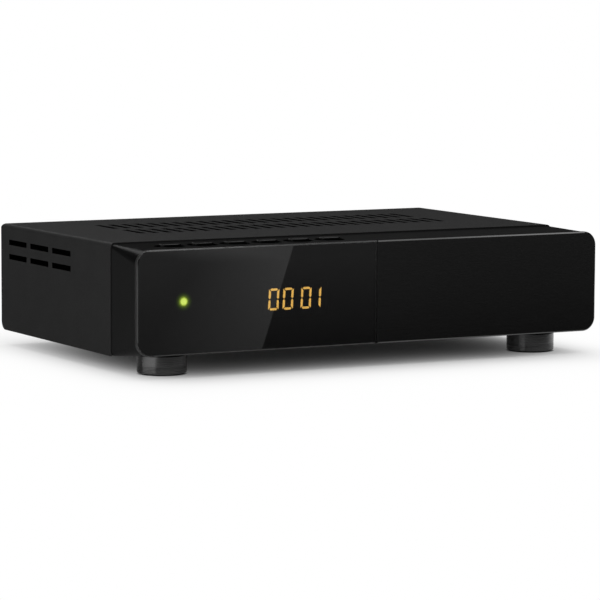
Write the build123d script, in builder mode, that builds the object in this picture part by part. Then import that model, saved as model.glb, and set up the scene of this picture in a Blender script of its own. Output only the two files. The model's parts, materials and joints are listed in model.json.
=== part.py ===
from build123d import *
import math
import os

# Small satellite television receiver: a bent steel cover over a steel tray, a moulded
# front bezel with six sprung keys in its top, and a thin front plate in two halves.
# Millimetres. +Z is up, the front faces -Y, X = 0 is the middle of the plate and
# Z = 0 is the table. Depths are counted backwards from the face of the front plate.

# ---------------------------------------------------------------- driving dimensions

# Front plate: a clear smoked window on the left, a brushed panel on the right
plate_width = 220.0
plate_height = 43.2
plate_corner = 6.0
plate_thick = 2.0
plate_bevel = 0.6
plate_lift = 9.6  # lower edge of the plate above the table
seam_x = 1.0
seam_gap = 0.3
seam_bevel = 0.15

# Sheet-metal case
sheet = 0.8
cover_width = 214.0
cover_height = 46.8
cover_lift = 6.7  # lower edge of the cover above the table
cover_bend = 2.0  # outside radius of the bends
cover_heel = 4.0  # round at the lower rear corner of each side
case_depth = 144.7  # face of the plate to the back of the cover
lip_height = 8.0  # rear lip of the cover, screwed to the tray
slip = 0.3  # sliding clearance between nested sheets
flange_height = 12.0  # folded edges of the tray
tray_bend = 1.6

# Cover vents
vent_count = 25
vent_pitch = 6.15
vent_length = 19.0
vent_width = 2.6
vent_first_depth = 78.5
vent_row_pitch = 27.5
vent_rows = 2
side_vent_count = 3
side_vent_pitch = 22.95
side_vent_length = 18.9
side_vent_height = 2.3
side_vent_depth = 103.4
side_vent_rows = 2
side_vent_row_pitch = 6.3
side_vent_drop = 10.85  # middle of the two rows below the top of the cover

# Vents in the floor of the tray
floor_vent_count = 14
floor_vent_pitch = 8.0
floor_vent_length = 24.0
floor_vent_width = 2.6
floor_vent_depth = 92.0

# Moulded bezel between plate and cover
bezel_depth = 31.7  # face of the plate to the front edge of the cover
bezel_wall = 2.0
bezel_corner = 1.5
bezel_gap = 0.1  # shadow gap between bezel and cover
plate_overhang = 0.2
top_step = 0.6  # top of the bezel below the top of the cover
side_step = 0.3
tongue_length = 6.0
tongue_thick = 1.2
tongue_start = 3.0  # side tongues start this far above the folded edge of the tray
sill_thick = 2.0

# Keys
key_count = 6
key_pitch = 14.88
key_edge = 22.5  # first key from the left end of the plate
key_depth = 15.8
key_length = 9.6
key_width = 5.6
key_proud = 1.2
key_bevel = 0.5
key_clear = 0.3
key_scoop = 1.5  # chamfer round each opening
key_play = 0.2
key_flange = 1.2
key_flange_rim = 1.2  # how far the flange stands out round the key
key_travel = 0.5
stem_length = 2.7
stem_web = 1.2
stem_span = 3.6

# Push switches under the keys, and their board
switch_side = 6.0
switch_height = 3.5
plunger_radius = 1.75
plunger_rise = 1.5
plunger_clear = 0.1
plunger_seat = 1.8  # length of the plunger inside the switch
board_thick = 1.6
key_board_front = 12.3
key_board_rear = 26.0
key_board_margin = 7.0
key_post_depth = 23.0
key_post_radius = 2.4
key_post_count = 3

# Display, lamp and receiver behind the window
display_width = 30.1
display_height = 14.0
display_thick = 7.2
display_edge = 72.85  # from the left end of the plate
display_lift = 30.25
display_gap = 0.3
display_clear = 0.4
digit_width = 4.75
digit_height = 9.0
digit_stroke = 0.9
digit_gap = 0.35
digit_lean = 3.0
zero_offsets = (-9.9, -3.2, 5.2)  # from the middle of the display
one_offset = 9.8
segment_thick = 0.2
lamp_edge = 21.6  # from the left end of the plate
lamp_lift = 31.3
lens_radius = 1.9
lens_rim = 0.7
lens_rim_thick = 1.0
lens_clear = 0.3
lamp_side = 3.0
lamp_thick = 0.8
eye_from_lamp = 17.1
eye_width = 7.0
eye_height = 7.5
eye_thick = 3.4
eye_dome_radius = 2.6
eye_dome_rise = 1.4
eye_dome_bevel = 0.9
eye_clear = 0.6
front_board_margin = 7.9  # left of the lamp
front_board_extra = 6.1  # right of the display
front_board_low = 15.0
front_board_high = 38.5
front_post_radius = 2.6
front_post_margin = 4.0

# Feet
foot_front_edge = 20.7  # from the end of the plate
foot_front_depth = 19.8
foot_rear_edge = 45.0  # from the side of the cover
foot_rear_back = 22.7  # from the back of the cover
foot_radius = 10.5
foot_seat = 9.1  # underside of the tray, where the feet seat
foot_bevel = 0.3
foot_clear = 0.3
pad_radius = 9.2
pad_thick = 2.0
pad_proud = 0.6
pad_clear = 0.15
foot_wall = 2.6  # metal left over the screw head
foot_well_radius = 3.6
pocket_roof = 2.4
pocket_wall = 0.6
foot_boss_radius = 3.6
foot_boss_height = 6.0

# Main board on posts pressed up from the tray
main_board_gap = 4.1  # to the side walls of the tray
main_board_front = 54.0
main_board_back = 3.6  # to the rear wall of the tray
main_post_height = 5.0
main_post_radius = 3.6
main_post_edge = 5.0  # from the side edge of the board
main_post_front_edge = 6.0
main_post_rear_edge = 33.5

# Screws
screw_radius = 1.5
screw_clear = 0.1
head_radius = 2.8
head_height = 1.8
small_screw_radius = 1.1
small_head_radius = 2.1
small_head_height = 1.4
bezel_screw_x = 60.0
bezel_screw_lift = 15.4
bezel_screw_length = 8.0
bezel_boss_radius = 3.2
cover_screw_edge = 27.0  # from the side of the cover
cover_screw_drop = 4.5  # below the top of the cover
cover_screw_length = 6.0
foot_screw_length = 7.5
board_screw_length = 5.0
front_screw_length = 5.0
key_screw_length = 6.0

# Antenna input: threaded socket with washer and nut, fed by the screened tuner
antenna_edge = 23.0  # from the side of the cover
antenna_lift = 25.5
antenna_radius = 4.76
antenna_reach = 9.6  # beyond the back of the cover
antenna_mouth_radius = 2.9
antenna_mouth_depth = 1.0
antenna_pin_radius = 0.7
antenna_pin_depth = 7.0
antenna_chamfer = 0.5
antenna_relief_depth = 0.4  # groove that ends the outer thread at the nut
antenna_relief_width = 0.5
nut_across = 11.1
nut_thick = 2.3
washer_radius = 7.2
washer_thick = 0.6
thread_clear = 0.1
tuner_width = 30.0
tuner_depth = 28.0
tuner_height = 17.0
tuner_wall = 0.5
tuner_round = 0.8
tuner_gap = 1.1  # between the can and the rear wall

# Rear sockets
wall_clear = 0.3
socket_proud = 1.3
small_proud = 0.4
euro_from_antenna = 46.0
euro_width = 46.4
euro_height = 15.2
euro_depth = 13.0
euro_slant = 3.0
euro_frame = 1.2
euro_groove = 1.3
euro_groove_depth = 8.0
euro_contact_count = 10
euro_contact_pitch = 3.81
euro_contact_width = 0.9
euro_contact_height = 3.2
euro_contact_rows = 5.0
euro_contact_depth = 6.0
video_from_euro = 38.0
video_width = 15.0
video_height = 5.9
video_bevel = 1.3
video_depth = 11.0
video_wall = 0.45
video_tongue_width = 11.2
video_tongue_thick = 1.3
data_from_audio = 22.0
data_width = 14.4
data_height = 7.0
data_depth = 14.0
data_wall = 0.45
data_tongue_width = 11.1
data_tongue_thick = 1.85
data_tongue_rise = 1.2
socket_floor = 1.5  # closed back of the shells
tongue_short = 1.0  # contact tongue ends this far inside the mouth
audio_from_video = 22.0
audio_block_width = 10.0
audio_block_height = 11.5
audio_block_depth = 10.0
audio_barrel_radius = 4.15
audio_barrel_wall = 0.6
audio_collar_rim = 0.35
audio_collar_proud = 0.6
audio_barrel_reach = 8.2  # beyond the rear wall
audio_core_clear = 0.1
audio_hole_radius = 1.8
audio_hole_depth = 14.0
audio_core_short = 0.6
audio_core_seat = 7.0  # length of the core inside the block
power_edge = 23.0  # from the side of the cover
power_width = 9.4
power_height = 11.0
power_depth = 14.0
power_nose_radius = 4.3
power_bore_radius = 3.1
power_bore_depth = 9.5
power_pin_radius = 1.05
power_pin_short = 0.8
power_pin_bevel = 0.4

# Parts on the main board
chip_x = -12.0
chip_depth = 92.0
chip_side = 19.0
chip_thick = 1.6
sink_side = 28.0
sink_base = 2.0
sink_height = 10.0
fin_count = 7
fin_thick = 1.3
memory_x = 24.0
memory_length = 13.0
memory_width = 8.0
memory_thick = 1.1
memory_pitch = 16.0
capacitor_edge = 23.0  # from the side edge of the board
capacitor_gap = 7.3  # to the power jack
capacitor_pitch = 11.0
capacitor_radius = 4.0
capacitor_height = 12.0
capacitor_bevel = 0.5
coil_from_capacitors = 24.0
coil_side = 10.0
coil_thick = 4.6
coil_pitch = 14.0
coil_round = 1.5

# Flat cable between the two boards
ribbon_x = -40.0
ribbon_width = 20.0
ribbon_thick = 0.9
ribbon_lift = 29.0
ribbon_bend = 6.0
ribbon_drop_depth = 62.0
header_extra = 2.0
header_side = 5.0
header_height = 6.0

# ---------------------------------------------------------------- places that follow

overall_depth = case_depth + antenna_reach
face_y = -overall_depth / 2
plate_mid = plate_lift + plate_height / 2
plate_top = plate_lift + plate_height
cover_top = cover_lift + cover_height
bezel_rear = bezel_depth - bezel_gap
bezel_front_half = plate_width / 2 - plate_overhang
bezel_rear_half = cover_width / 2 - side_step
bezel_rear_top = cover_top - top_step
tray_half = cover_width / 2 - sheet - slip
tray_top = cover_top - cover_bend - slip
wall_outer = case_depth - sheet  # outer face of the tray's rear wall
wall_inner = wall_outer - sheet
flange_top = foot_seat + flange_height
floor_top = foot_seat + sheet
front_board_depth = plate_thick + display_gap + display_thick
main_board_low = floor_top + main_post_height
main_board_top = main_board_low + board_thick
key_flange_top = plate_top - plate_overhang - bezel_wall - key_play
key_flange_low = key_flange_top - key_flange
plunger_top = key_flange_low - stem_length
switch_top = plunger_top - plunger_rise
key_board_top = switch_top - switch_height
key_board_low = key_board_top - board_thick
key_top = plate_top - plate_overhang + key_proud
key_first_x = -plate_width / 2 + key_edge
key_places = [key_first_x + key_pitch * i for i in range(key_count)]
key_post_step = 2 * key_pitch  # a post after every second key
key_post_places = [
    key_first_x + key_pitch / 2 + key_post_step * i for i in range(key_post_count)
]
display_x = -plate_width / 2 + display_edge
lamp_x = -plate_width / 2 + lamp_edge
eye_x = lamp_x + eye_from_lamp
front_board_left = lamp_x - front_board_margin
front_board_right = display_x + display_width / 2 + front_board_extra
front_post_places = (
    (front_board_left + front_post_margin, front_board_low + front_post_margin),
    (front_board_right - front_post_margin, front_board_low + front_post_margin),
    (
        display_x - display_width / 2 - front_post_radius - front_post_margin,
        front_board_high - front_post_margin,
    ),
)
foot_front_x = plate_width / 2 - foot_front_edge
foot_rear_x = cover_width / 2 - foot_rear_edge
foot_rear_depth = case_depth - foot_rear_back
foot_places = {
    "front_left": (-foot_front_x, foot_front_depth),
    "front_right": (foot_front_x, foot_front_depth),
    "rear_left": (-foot_rear_x, foot_rear_depth),
    "rear_right": (foot_rear_x, foot_rear_depth),
}
main_board_half = tray_half - sheet - main_board_gap
main_board_rear = wall_inner - main_board_back
main_post_x = main_board_half - main_post_edge
main_post_places = [
    (side * main_post_x, depth)
    for side in (-1, 1)
    for depth in (
        main_board_front + main_post_front_edge,
        main_board_rear - main_post_rear_edge,
    )
]
antenna_x = cover_width / 2 - antenna_edge
euro_x = antenna_x - euro_from_antenna
video_x = euro_x - video_from_euro
audio_x = video_x - audio_from_video
data_x = audio_x - data_from_audio
power_x = -cover_width / 2 + power_edge
cover_screw_x = cover_width / 2 - cover_screw_edge
cover_screw_places = [-cover_screw_x, 0, cover_screw_x]
cover_screw_lift = cover_top - cover_screw_drop


def upright(depth):
    """Plane facing the front at this depth: local X is X, local Y is Z."""
    return Plane.XZ.offset(-(face_y + depth))


def level(height):
    """Horizontal plane at this height above the table."""
    return Plane.XY.offset(height)


def at(x, depth):
    """Point of a horizontal plane, from X and a depth behind the plate's face."""
    return (x, face_y + depth)


def keep(piece, name):
    """Label a finished piece and write its STEP file."""
    piece.label = name
    export_step(piece, f"parts/{name}.step")


os.makedirs("parts", exist_ok=True)

# ---------------------------------------------------------------- front plate


def plate_outline(side):
    """Outline of one half of the plate: side -1 is left of the seam, +1 right of it."""
    with Locations((0, plate_mid)):
        RectangleRounded(plate_width, plate_height, plate_corner)
    cut_align = Align.MAX if side < 0 else Align.MIN
    with Locations((seam_x + side * seam_gap / 2, plate_mid)):
        Rectangle(
            plate_width, plate_height, align=(cut_align, Align.CENTER), mode=Mode.INTERSECT
        )


with BuildPart() as display_window:
    with BuildSketch(upright(0)):
        plate_outline(-1)
    extrude(amount=-plate_thick)
    front_rim = display_window.faces().sort_by(Axis.Y)[0].edges().sort_by(Axis.X)
    chamfer(front_rim[:-1], plate_bevel)
    seam_edge = display_window.faces().sort_by(Axis.Y)[0].edges().sort_by(Axis.X)[-1]
    chamfer(seam_edge, seam_bevel)
keep(display_window.part, "display_window")

with BuildPart() as brushed_panel:
    with BuildSketch(upright(0)):
        plate_outline(1)
    extrude(amount=-plate_thick)
    front_rim = brushed_panel.faces().sort_by(Axis.Y)[0].edges().sort_by(Axis.X)
    chamfer(front_rim[1:], plate_bevel)
    seam_edge = brushed_panel.faces().sort_by(Axis.Y)[0].edges().sort_by(Axis.X)[0]
    chamfer(seam_edge, seam_bevel)
keep(brushed_panel.part, "brushed_panel")

# ---------------------------------------------------------------- moulded bezel


def bezel_section(inset, depth, half_width, low, high, corner):
    """Rounded rectangle, inset by a wall, at one end of the bezel's loft."""
    with BuildSketch(upright(depth)) as section:
        with Locations((0, (low + high) / 2)):
            RectangleRounded(
                2 * (half_width - inset),
                high - low - 2 * inset,
                max(corner - inset, bezel_corner / 2),
            )
    return section.sketch


def bezel_front_section(inset, depth):
    """The end behind the plate, a little inside the plate's outline."""
    return bezel_section(
        inset,
        depth,
        bezel_front_half,
        plate_lift + plate_overhang,
        plate_top - plate_overhang,
        plate_corner - plate_overhang,
    )


def bezel_rear_section(inset):
    """The end at the cover, a little inside the cover's outline."""
    return bezel_section(
        inset, bezel_rear, bezel_rear_half, cover_lift, bezel_rear_top, bezel_corner
    )


with BuildPart() as front_bezel:
    # flared shell: narrow and deep at the cover, wide and rounded at the plate
    loft([bezel_front_section(0, plate_thick), bezel_rear_section(0)], ruled=True)
    loft(
        [
            bezel_front_section(bezel_wall, plate_thick + bezel_wall),
            bezel_rear_section(bezel_wall),
        ],
        ruled=True,
        mode=Mode.SUBTRACT,
    )

    # tongue that slides in under the cover, on the top and both sides
    with BuildSketch(upright(bezel_rear)):
        tongue_half = cover_width / 2 - sheet - slip
        tongue_top = cover_top - sheet - slip
        tongue_low = flange_top + tongue_start
        tongue_mid = (tongue_top + tongue_low) / 2
        with Locations((0, tongue_mid)):
            Rectangle(2 * tongue_half, tongue_top - tongue_low)
        with Locations((0, tongue_mid - tongue_thick)):
            Rectangle(
                2 * (tongue_half - tongue_thick),
                tongue_top - tongue_low,
                mode=Mode.SUBTRACT,
            )
    extrude(amount=-tongue_length)
    tongue_corners = front_bezel.edges().filter_by(Axis.Y).group_by(Axis.Z)[-1]
    fillet(tongue_corners, cover_bend - sheet)

    # sill across the bottom of the open back, screwed to the tray
    with BuildSketch(upright(bezel_rear)):
        with Locations((0, cover_lift + bezel_wall / 2)):
            Rectangle(
                2 * (bezel_rear_half - bezel_wall / 2),
                flange_top - cover_lift - bezel_wall / 2,
                align=(Align.CENTER, Align.MIN),
            )
    extrude(amount=sill_thick)

    # screw bosses on the sill
    with BuildSketch(upright(bezel_rear - sill_thick)):
        with Locations((-bezel_screw_x, bezel_screw_lift), (bezel_screw_x, bezel_screw_lift)):
            Circle(bezel_boss_radius)
    extrude(amount=bezel_screw_length - sill_thick)
    with BuildSketch(upright(bezel_rear)):
        with Locations((-bezel_screw_x, bezel_screw_lift), (bezel_screw_x, bezel_screw_lift)):
            Circle(screw_radius + screw_clear)
    extrude(amount=bezel_screw_length, mode=Mode.SUBTRACT)

    # foot pockets: a roof and a screw boss over a round recess
    front_feet = [at(side * foot_front_x, foot_front_depth) for side in (-1, 1)]
    with BuildSketch(level(foot_seat)):
        with Locations(*front_feet):
            Circle(foot_radius + foot_clear + pocket_wall)
    extrude(amount=pocket_roof)
    with BuildSketch(level(foot_seat)):
        with Locations(*front_feet):
            Circle(foot_boss_radius)
    extrude(amount=foot_boss_height)
    with BuildSketch(level(foot_seat)):
        with Locations(*front_feet):
            Circle(foot_radius + foot_clear)
    extrude(amount=-foot_seat, mode=Mode.SUBTRACT)
    with BuildSketch(level(foot_seat)):
        with Locations(*front_feet):
            Circle(screw_radius + screw_clear)
    extrude(amount=foot_boss_height, mode=Mode.SUBTRACT)

    # posts for the board behind the window
    with BuildSketch(upright(plate_thick + bezel_wall / 2)):
        with Locations(*front_post_places):
            Circle(front_post_radius)
            Circle(small_screw_radius + screw_clear, mode=Mode.SUBTRACT)
    extrude(amount=-(front_board_depth - plate_thick - bezel_wall / 2))

    # openings in the front wall for display, lamp and receiver eye
    with BuildSketch(upright(plate_thick)):
        with Locations((display_x, display_lift)):
            Rectangle(display_width + 2 * display_clear, display_height + 2 * display_clear)
        with Locations((lamp_x, lamp_lift)):
            Circle(lens_radius + lens_clear)
        with Locations((eye_x, lamp_lift)):
            Circle(eye_dome_radius + eye_clear)
    extrude(amount=-bezel_wall, mode=Mode.SUBTRACT)

    # posts for the key board, hanging from the top wall
    with BuildSketch(level(key_board_top)):
        with Locations(*[at(x, key_post_depth) for x in key_post_places]):
            Circle(key_post_radius)
    extrude(amount=plate_top - plate_overhang - bezel_wall / 2 - key_board_top)
    with BuildSketch(level(key_board_top)):
        with Locations(*[at(x, key_post_depth) for x in key_post_places]):
            Circle(small_screw_radius + screw_clear)
    extrude(amount=key_screw_length, mode=Mode.SUBTRACT)

    # key openings with a scooped edge
    with BuildSketch(level(cover_top)):
        with Locations(*[at(x, key_depth) for x in key_places]):
            SlotOverall(key_length + 2 * key_clear, key_width + 2 * key_clear)
    extrude(amount=-2 * bezel_wall, mode=Mode.SUBTRACT)
    top_face = front_bezel.faces().sort_by(Axis.Z)[-1]
    chamfer(top_face.inner_wires().edges(), key_scoop)
keep(front_bezel.part, "front_bezel")

# ---------------------------------------------------------------- keys and switches


def cross_stem(x, length):
    """Cross-shaped stem under a key, as a sketch."""
    with Locations(at(x, key_depth)):
        Rectangle(stem_span, stem_web)
        Rectangle(stem_web, stem_span)


for number, key_x in enumerate(key_places, start=1):
    with BuildPart() as key:
        with BuildSketch(level(key_flange_top)):
            with Locations(at(key_x, key_depth)):
                SlotOverall(key_length, key_width)
        extrude(amount=key_top - key_flange_top)
        chamfer(key.faces().sort_by(Axis.Z)[-1].edges(), key_bevel)
        with BuildSketch(level(key_flange_low)):
            with Locations(at(key_x, key_depth)):
                SlotOverall(
                    key_length + 2 * key_flange_rim, key_width + 2 * key_flange_rim
                )
        extrude(amount=key_flange)
        with BuildSketch(level(key_flange_low)):
            cross_stem(key_x, stem_length)
        extrude(amount=-stem_length)
    keep(key.part, f"key_{number}")

    with BuildPart() as plunger:
        with BuildSketch(level(plunger_top)):
            with Locations(at(key_x, key_depth)):
                Circle(plunger_radius)
        extrude(amount=-(plunger_rise + plunger_seat))
    keep(plunger.part, f"switch_plunger_{number}")

with BuildPart() as key_switches:
    with BuildSketch(level(key_board_top)):
        with Locations(*[at(x, key_depth) for x in key_places]):
            Rectangle(switch_side, switch_side)
    extrude(amount=switch_height)
    with BuildSketch(level(switch_top)):
        with Locations(*[at(x, key_depth) for x in key_places]):
            Circle(plunger_radius + plunger_clear)
    extrude(amount=-(plunger_seat + key_travel + plunger_clear), mode=Mode.SUBTRACT)
keep(key_switches.part, "key_switches")

with BuildPart() as key_board:
    with BuildSketch(level(key_board_low)):
        board_left = key_places[0] - key_board_margin
        board_right = key_places[-1] + key_board_margin
        with Locations(at((board_left + board_right) / 2, (key_board_front + key_board_rear) / 2)):
            Rectangle(board_right - board_left, key_board_rear - key_board_front)
        with Locations(*[at(x, key_post_depth) for x in key_post_places]):
            Circle(small_screw_radius + screw_clear, mode=Mode.SUBTRACT)
    extrude(amount=board_thick)
keep(key_board.part, "key_board")

# ---------------------------------------------------------------- board behind the window

with BuildPart() as front_board:
    with BuildSketch(upright(front_board_depth)):
        with Locations(
            (
                (front_board_left + front_board_right) / 2,
                (front_board_low + front_board_high) / 2,
            )
        ):
            Rectangle(
                front_board_right - front_board_left, front_board_high - front_board_low
            )
        with Locations(*front_post_places):
            Circle(small_screw_radius + screw_clear, mode=Mode.SUBTRACT)
    extrude(amount=-board_thick)
keep(front_board.part, "front_board")

with BuildPart() as display_module:
    with BuildSketch(upright(plate_thick + display_gap)):
        with Locations((display_x, display_lift)):
            Rectangle(display_width, display_height)
    extrude(amount=-display_thick)
keep(display_module.part, "display_module")


def level_bar(digit_x, half):
    """Bar along the bottom or top of a digit: a long hexagon."""
    rise = half * (digit_height - digit_stroke) / 2
    shift = rise * math.tan(math.radians(digit_lean))
    end = (digit_width - digit_stroke - digit_gap) / 2
    tip = digit_stroke / 2
    with Locations((digit_x + shift, display_lift + rise)):
        Polygon(
            (-end, 0),
            (-end + tip, -tip),
            (end - tip, -tip),
            (end, 0),
            (end - tip, tip),
            (-end + tip, tip),
            align=None,
        )


def upright_bar(digit_x, side, half):
    """Bar on the left or right of a digit (side), in its lower or upper half (half).

    Pointed at the middle of the digit, cut slantwise towards the level bar, its outer
    edge the longer one.
    """
    arm = (digit_height - digit_stroke) / 2
    rise = half * arm / 2
    shift = rise * math.tan(math.radians(digit_lean))
    out = side * (digit_width - digit_stroke) / 2
    end = (arm - digit_gap) / 2
    tip = digit_stroke / 2
    outer = -side * half * tip  # local Y of the outer edge
    corners = [
        (-end, 0),
        (-end + tip, -outer),
        (end - 1.5 * tip, -outer),
        (end + 0.5 * tip, outer),
        (-end + tip, outer),
    ]
    if outer < 0:
        corners.reverse()
    with Locations(Location((digit_x + out + shift, display_lift + rise), half * 90 - digit_lean)):
        Polygon(*corners, align=None)


with BuildPart() as lit_segments:
    with BuildSketch(upright(plate_thick + display_gap)):
        for offset_x in zero_offsets:
            zero_x = display_x + offset_x
            for half in (-1, 1):
                level_bar(zero_x, half)
                for side in (-1, 1):
                    upright_bar(zero_x, side, half)
        for half in (-1, 1):
            upright_bar(display_x + one_offset, 1, half)
    extrude(amount=segment_thick)
keep(lit_segments.part, "lit_segments")

with BuildPart() as status_lens:
    lens_length = front_board_depth - lamp_thick - plate_thick
    with BuildSketch(upright(plate_thick)):
        with Locations((lamp_x, lamp_lift)):
            Circle(lens_radius)
    extrude(amount=-lens_length)
    with BuildSketch(upright(plate_thick + bezel_wall)):
        with Locations((lamp_x, lamp_lift)):
            Circle(lens_radius + lens_rim)
    extrude(amount=-lens_rim_thick)
keep(status_lens.part, "status_lens")

with BuildPart() as status_lamp:
    with BuildSketch(upright(front_board_depth)):
        with Locations((lamp_x, lamp_lift)):
            Rectangle(lamp_side, lamp_side)
    extrude(amount=lamp_thick)
keep(status_lamp.part, "status_lamp")

with BuildPart() as receiver_eye:
    with BuildSketch(upright(front_board_depth)):
        with Locations((eye_x, lamp_lift)):
            Rectangle(eye_width, eye_height)
    extrude(amount=eye_thick)
    with BuildSketch(upright(front_board_depth - eye_thick)):
        with Locations((eye_x, lamp_lift)):
            Circle(eye_dome_radius)
    extrude(amount=eye_dome_rise)
    chamfer(receiver_eye.faces().sort_by(Axis.Y)[0].edges(), eye_dome_bevel)
keep(receiver_eye.part, "receiver_eye")

# ---------------------------------------------------------------- sheet-metal cover


def cover_envelope(inset, low):
    """Solid envelope of the cover, inset by the sheet, rounded where the sheet is bent."""
    with BuildPart() as envelope:
        with BuildSketch(upright(bezel_depth)):
            with Locations((0, low)):
                Rectangle(
                    cover_width - 2 * inset,
                    cover_top - inset - low,
                    align=(Align.CENTER, Align.MIN),
                )
        extrude(amount=-(case_depth - bezel_depth - inset))
        bends = envelope.faces().sort_by(Axis.Z)[-1].edges()
        fillet(bends.sort_by(Axis.Y)[1:], cover_bend - inset)
    return envelope.part


with BuildPart() as top_cover:
    add(cover_envelope(0, cover_lift))
    lower_edges = top_cover.edges().filter_by(Axis.X).group_by(Axis.Z)[0]
    fillet(lower_edges.sort_by(Axis.Y)[-1], cover_heel)
    # hollow, open at the front and below
    add(cover_envelope(sheet, 0), mode=Mode.SUBTRACT)
    # leave only a lip across the back
    with BuildSketch(level(cover_lift)):
        with Locations(at(0, case_depth - cover_heel - sheet)):
            Rectangle(
                cover_width - 2 * sheet,
                2 * (cover_heel + sheet),
                align=(Align.CENTER, Align.MIN),
            )
    extrude(amount=cover_height - lip_height, mode=Mode.SUBTRACT)
    # vents in the top
    with BuildSketch(level(cover_top)):
        vent_mid = vent_first_depth + vent_row_pitch * (vent_rows - 1) / 2
        with Locations(at(0, vent_mid)):
            with GridLocations(vent_pitch, vent_row_pitch, vent_count, vent_rows):
                Rectangle(vent_width, vent_length)
    extrude(amount=-2 * sheet, mode=Mode.SUBTRACT)
    # vents through both sides
    with BuildSketch(Plane.YZ.offset(-cover_width / 2)):
        with Locations((face_y + side_vent_depth, cover_top - side_vent_drop)):
            with GridLocations(
                side_vent_pitch, side_vent_row_pitch, side_vent_count, side_vent_rows
            ):
                Rectangle(side_vent_length, side_vent_height)
    extrude(amount=cover_width, mode=Mode.SUBTRACT)
    # screw holes in the lip
    with BuildSketch(upright(wall_outer - sheet)):
        with Locations(*[(x, cover_screw_lift) for x in cover_screw_places]):
            Circle(screw_radius + screw_clear)
    extrude(amount=-2 * sheet, mode=Mode.SUBTRACT)
keep(top_cover.part, "top_cover")

# ---------------------------------------------------------------- tray

euro_lift = main_board_top + euro_height / 2
video_lift = main_board_top + video_height / 2
data_lift = main_board_top + data_height / 2
audio_lift = main_board_top + audio_block_height / 2
power_lift = main_board_top + power_height / 2


def euro_outline(grow, mode=Mode.ADD):
    """Outline of the wide television socket: a rectangle with one slanted end."""
    with Locations((euro_x, euro_lift)):
        left = -euro_width / 2 - grow
        right = euro_width / 2 + grow
        low = -euro_height / 2 - grow
        high = euro_height / 2 + grow
        Polygon(
            (left, low),
            (right - euro_slant, low),
            (right, low + euro_slant),
            (right, high),
            (left, high),
            align=None,
            mode=mode,
        )


def video_outline(grow):
    """Outline of the digital picture socket: lower corners cut off."""
    with Locations((video_x, video_lift)):
        side = video_width / 2 + grow
        low = -video_height / 2 - grow
        high = video_height / 2 + grow
        Polygon(
            (-side + video_bevel, low),
            (side - video_bevel, low),
            (side, low + video_bevel),
            (side, high),
            (-side, high),
            (-side, low + video_bevel),
            align=None,
        )


def tray_envelope(inset, high):
    """Solid envelope of the tray, inset by the sheet, rounded where the sheet is bent."""
    with BuildPart() as envelope:
        with BuildSketch(level(foot_seat + inset)):
            with Locations(at(0, (bezel_rear + wall_outer) / 2)):
                Rectangle(2 * (tray_half - inset), wall_outer - bezel_rear - 2 * inset)
        extrude(amount=high - foot_seat - inset)
        fillet(envelope.faces().sort_by(Axis.Z)[0].edges(), tray_bend - inset)
    return envelope.part


with BuildPart() as base_tray:
    # folded box, open at the top
    add(tray_envelope(0, tray_top))
    add(tray_envelope(sheet, cover_top), mode=Mode.SUBTRACT)
    # cut the front and the sides down to low folded edges
    with BuildSketch(level(flange_top)):
        with Locations(at(0, bezel_rear)):
            Rectangle(
                2 * cover_width,
                wall_inner - bezel_rear,
                align=(Align.CENTER, Align.MIN),
            )
    extrude(amount=cover_top, mode=Mode.SUBTRACT)
    # posts for the main board, and thickened seats for the rear foot screws
    rear_feet = [at(side * foot_rear_x, foot_rear_depth) for side in (-1, 1)]
    with BuildSketch(level(foot_seat)):
        with Locations(*[at(x, depth) for x, depth in main_post_places]):
            Circle(main_post_radius)
    extrude(amount=main_post_height + sheet)
    with BuildSketch(level(foot_seat)):
        with Locations(*[at(x, depth) for x, depth in main_post_places]):
            Circle(main_post_radius - sheet)
    extrude(amount=main_post_height, mode=Mode.SUBTRACT)
    with BuildSketch(level(floor_top - sheet / 2)):
        with Locations(*rear_feet):
            Circle(foot_boss_radius)
    extrude(amount=foot_wall)
    with BuildSketch(level(foot_seat)):
        with Locations(*rear_feet):
            Circle(screw_radius + screw_clear)
        with Locations(*[at(x, depth) for x, depth in main_post_places]):
            Circle(screw_radius + screw_clear)
    extrude(amount=main_post_height + 2 * sheet, mode=Mode.SUBTRACT)
    # vents in the floor
    with BuildSketch(level(foot_seat)):
        with Locations(at(0, floor_vent_depth)):
            with GridLocations(floor_vent_pitch, 0, floor_vent_count, 1):
                Rectangle(floor_vent_width, floor_vent_length)
    extrude(amount=sheet, mode=Mode.SUBTRACT)
    # openings in the rear wall
    with BuildSketch(upright(wall_inner)):
        euro_outline(wall_clear)
        video_outline(wall_clear)
        with Locations((data_x, data_lift)):
            Rectangle(data_width + 2 * wall_clear, data_height + 2 * wall_clear)
        with Locations((audio_x, audio_lift)):
            Circle(audio_barrel_radius + audio_collar_rim + wall_clear)
        with Locations((power_x, power_lift)):
            Circle(power_nose_radius + wall_clear)
        with Locations((antenna_x, antenna_lift)):
            Circle(antenna_radius + thread_clear)
        with Locations(*[(x, cover_screw_lift) for x in cover_screw_places]):
            Circle(screw_radius + screw_clear)
    extrude(amount=-sheet, mode=Mode.SUBTRACT)
    # screw holes in the front edge
    with BuildSketch(upright(bezel_rear)):
        with Locations((-bezel_screw_x, bezel_screw_lift), (bezel_screw_x, bezel_screw_lift)):
            Circle(screw_radius + screw_clear)
    extrude(amount=-sheet, mode=Mode.SUBTRACT)
keep(base_tray.part, "base_tray")

# ---------------------------------------------------------------- main board

with BuildPart() as main_board:
    with BuildSketch(level(main_board_low)):
        with Locations(at(0, (main_board_front + main_board_rear) / 2)):
            Rectangle(2 * main_board_half, main_board_rear - main_board_front)
        with Locations(*[at(x, depth) for x, depth in main_post_places]):
            Circle(screw_radius + screw_clear, mode=Mode.SUBTRACT)
    extrude(amount=board_thick)
keep(main_board.part, "main_board")

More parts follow.
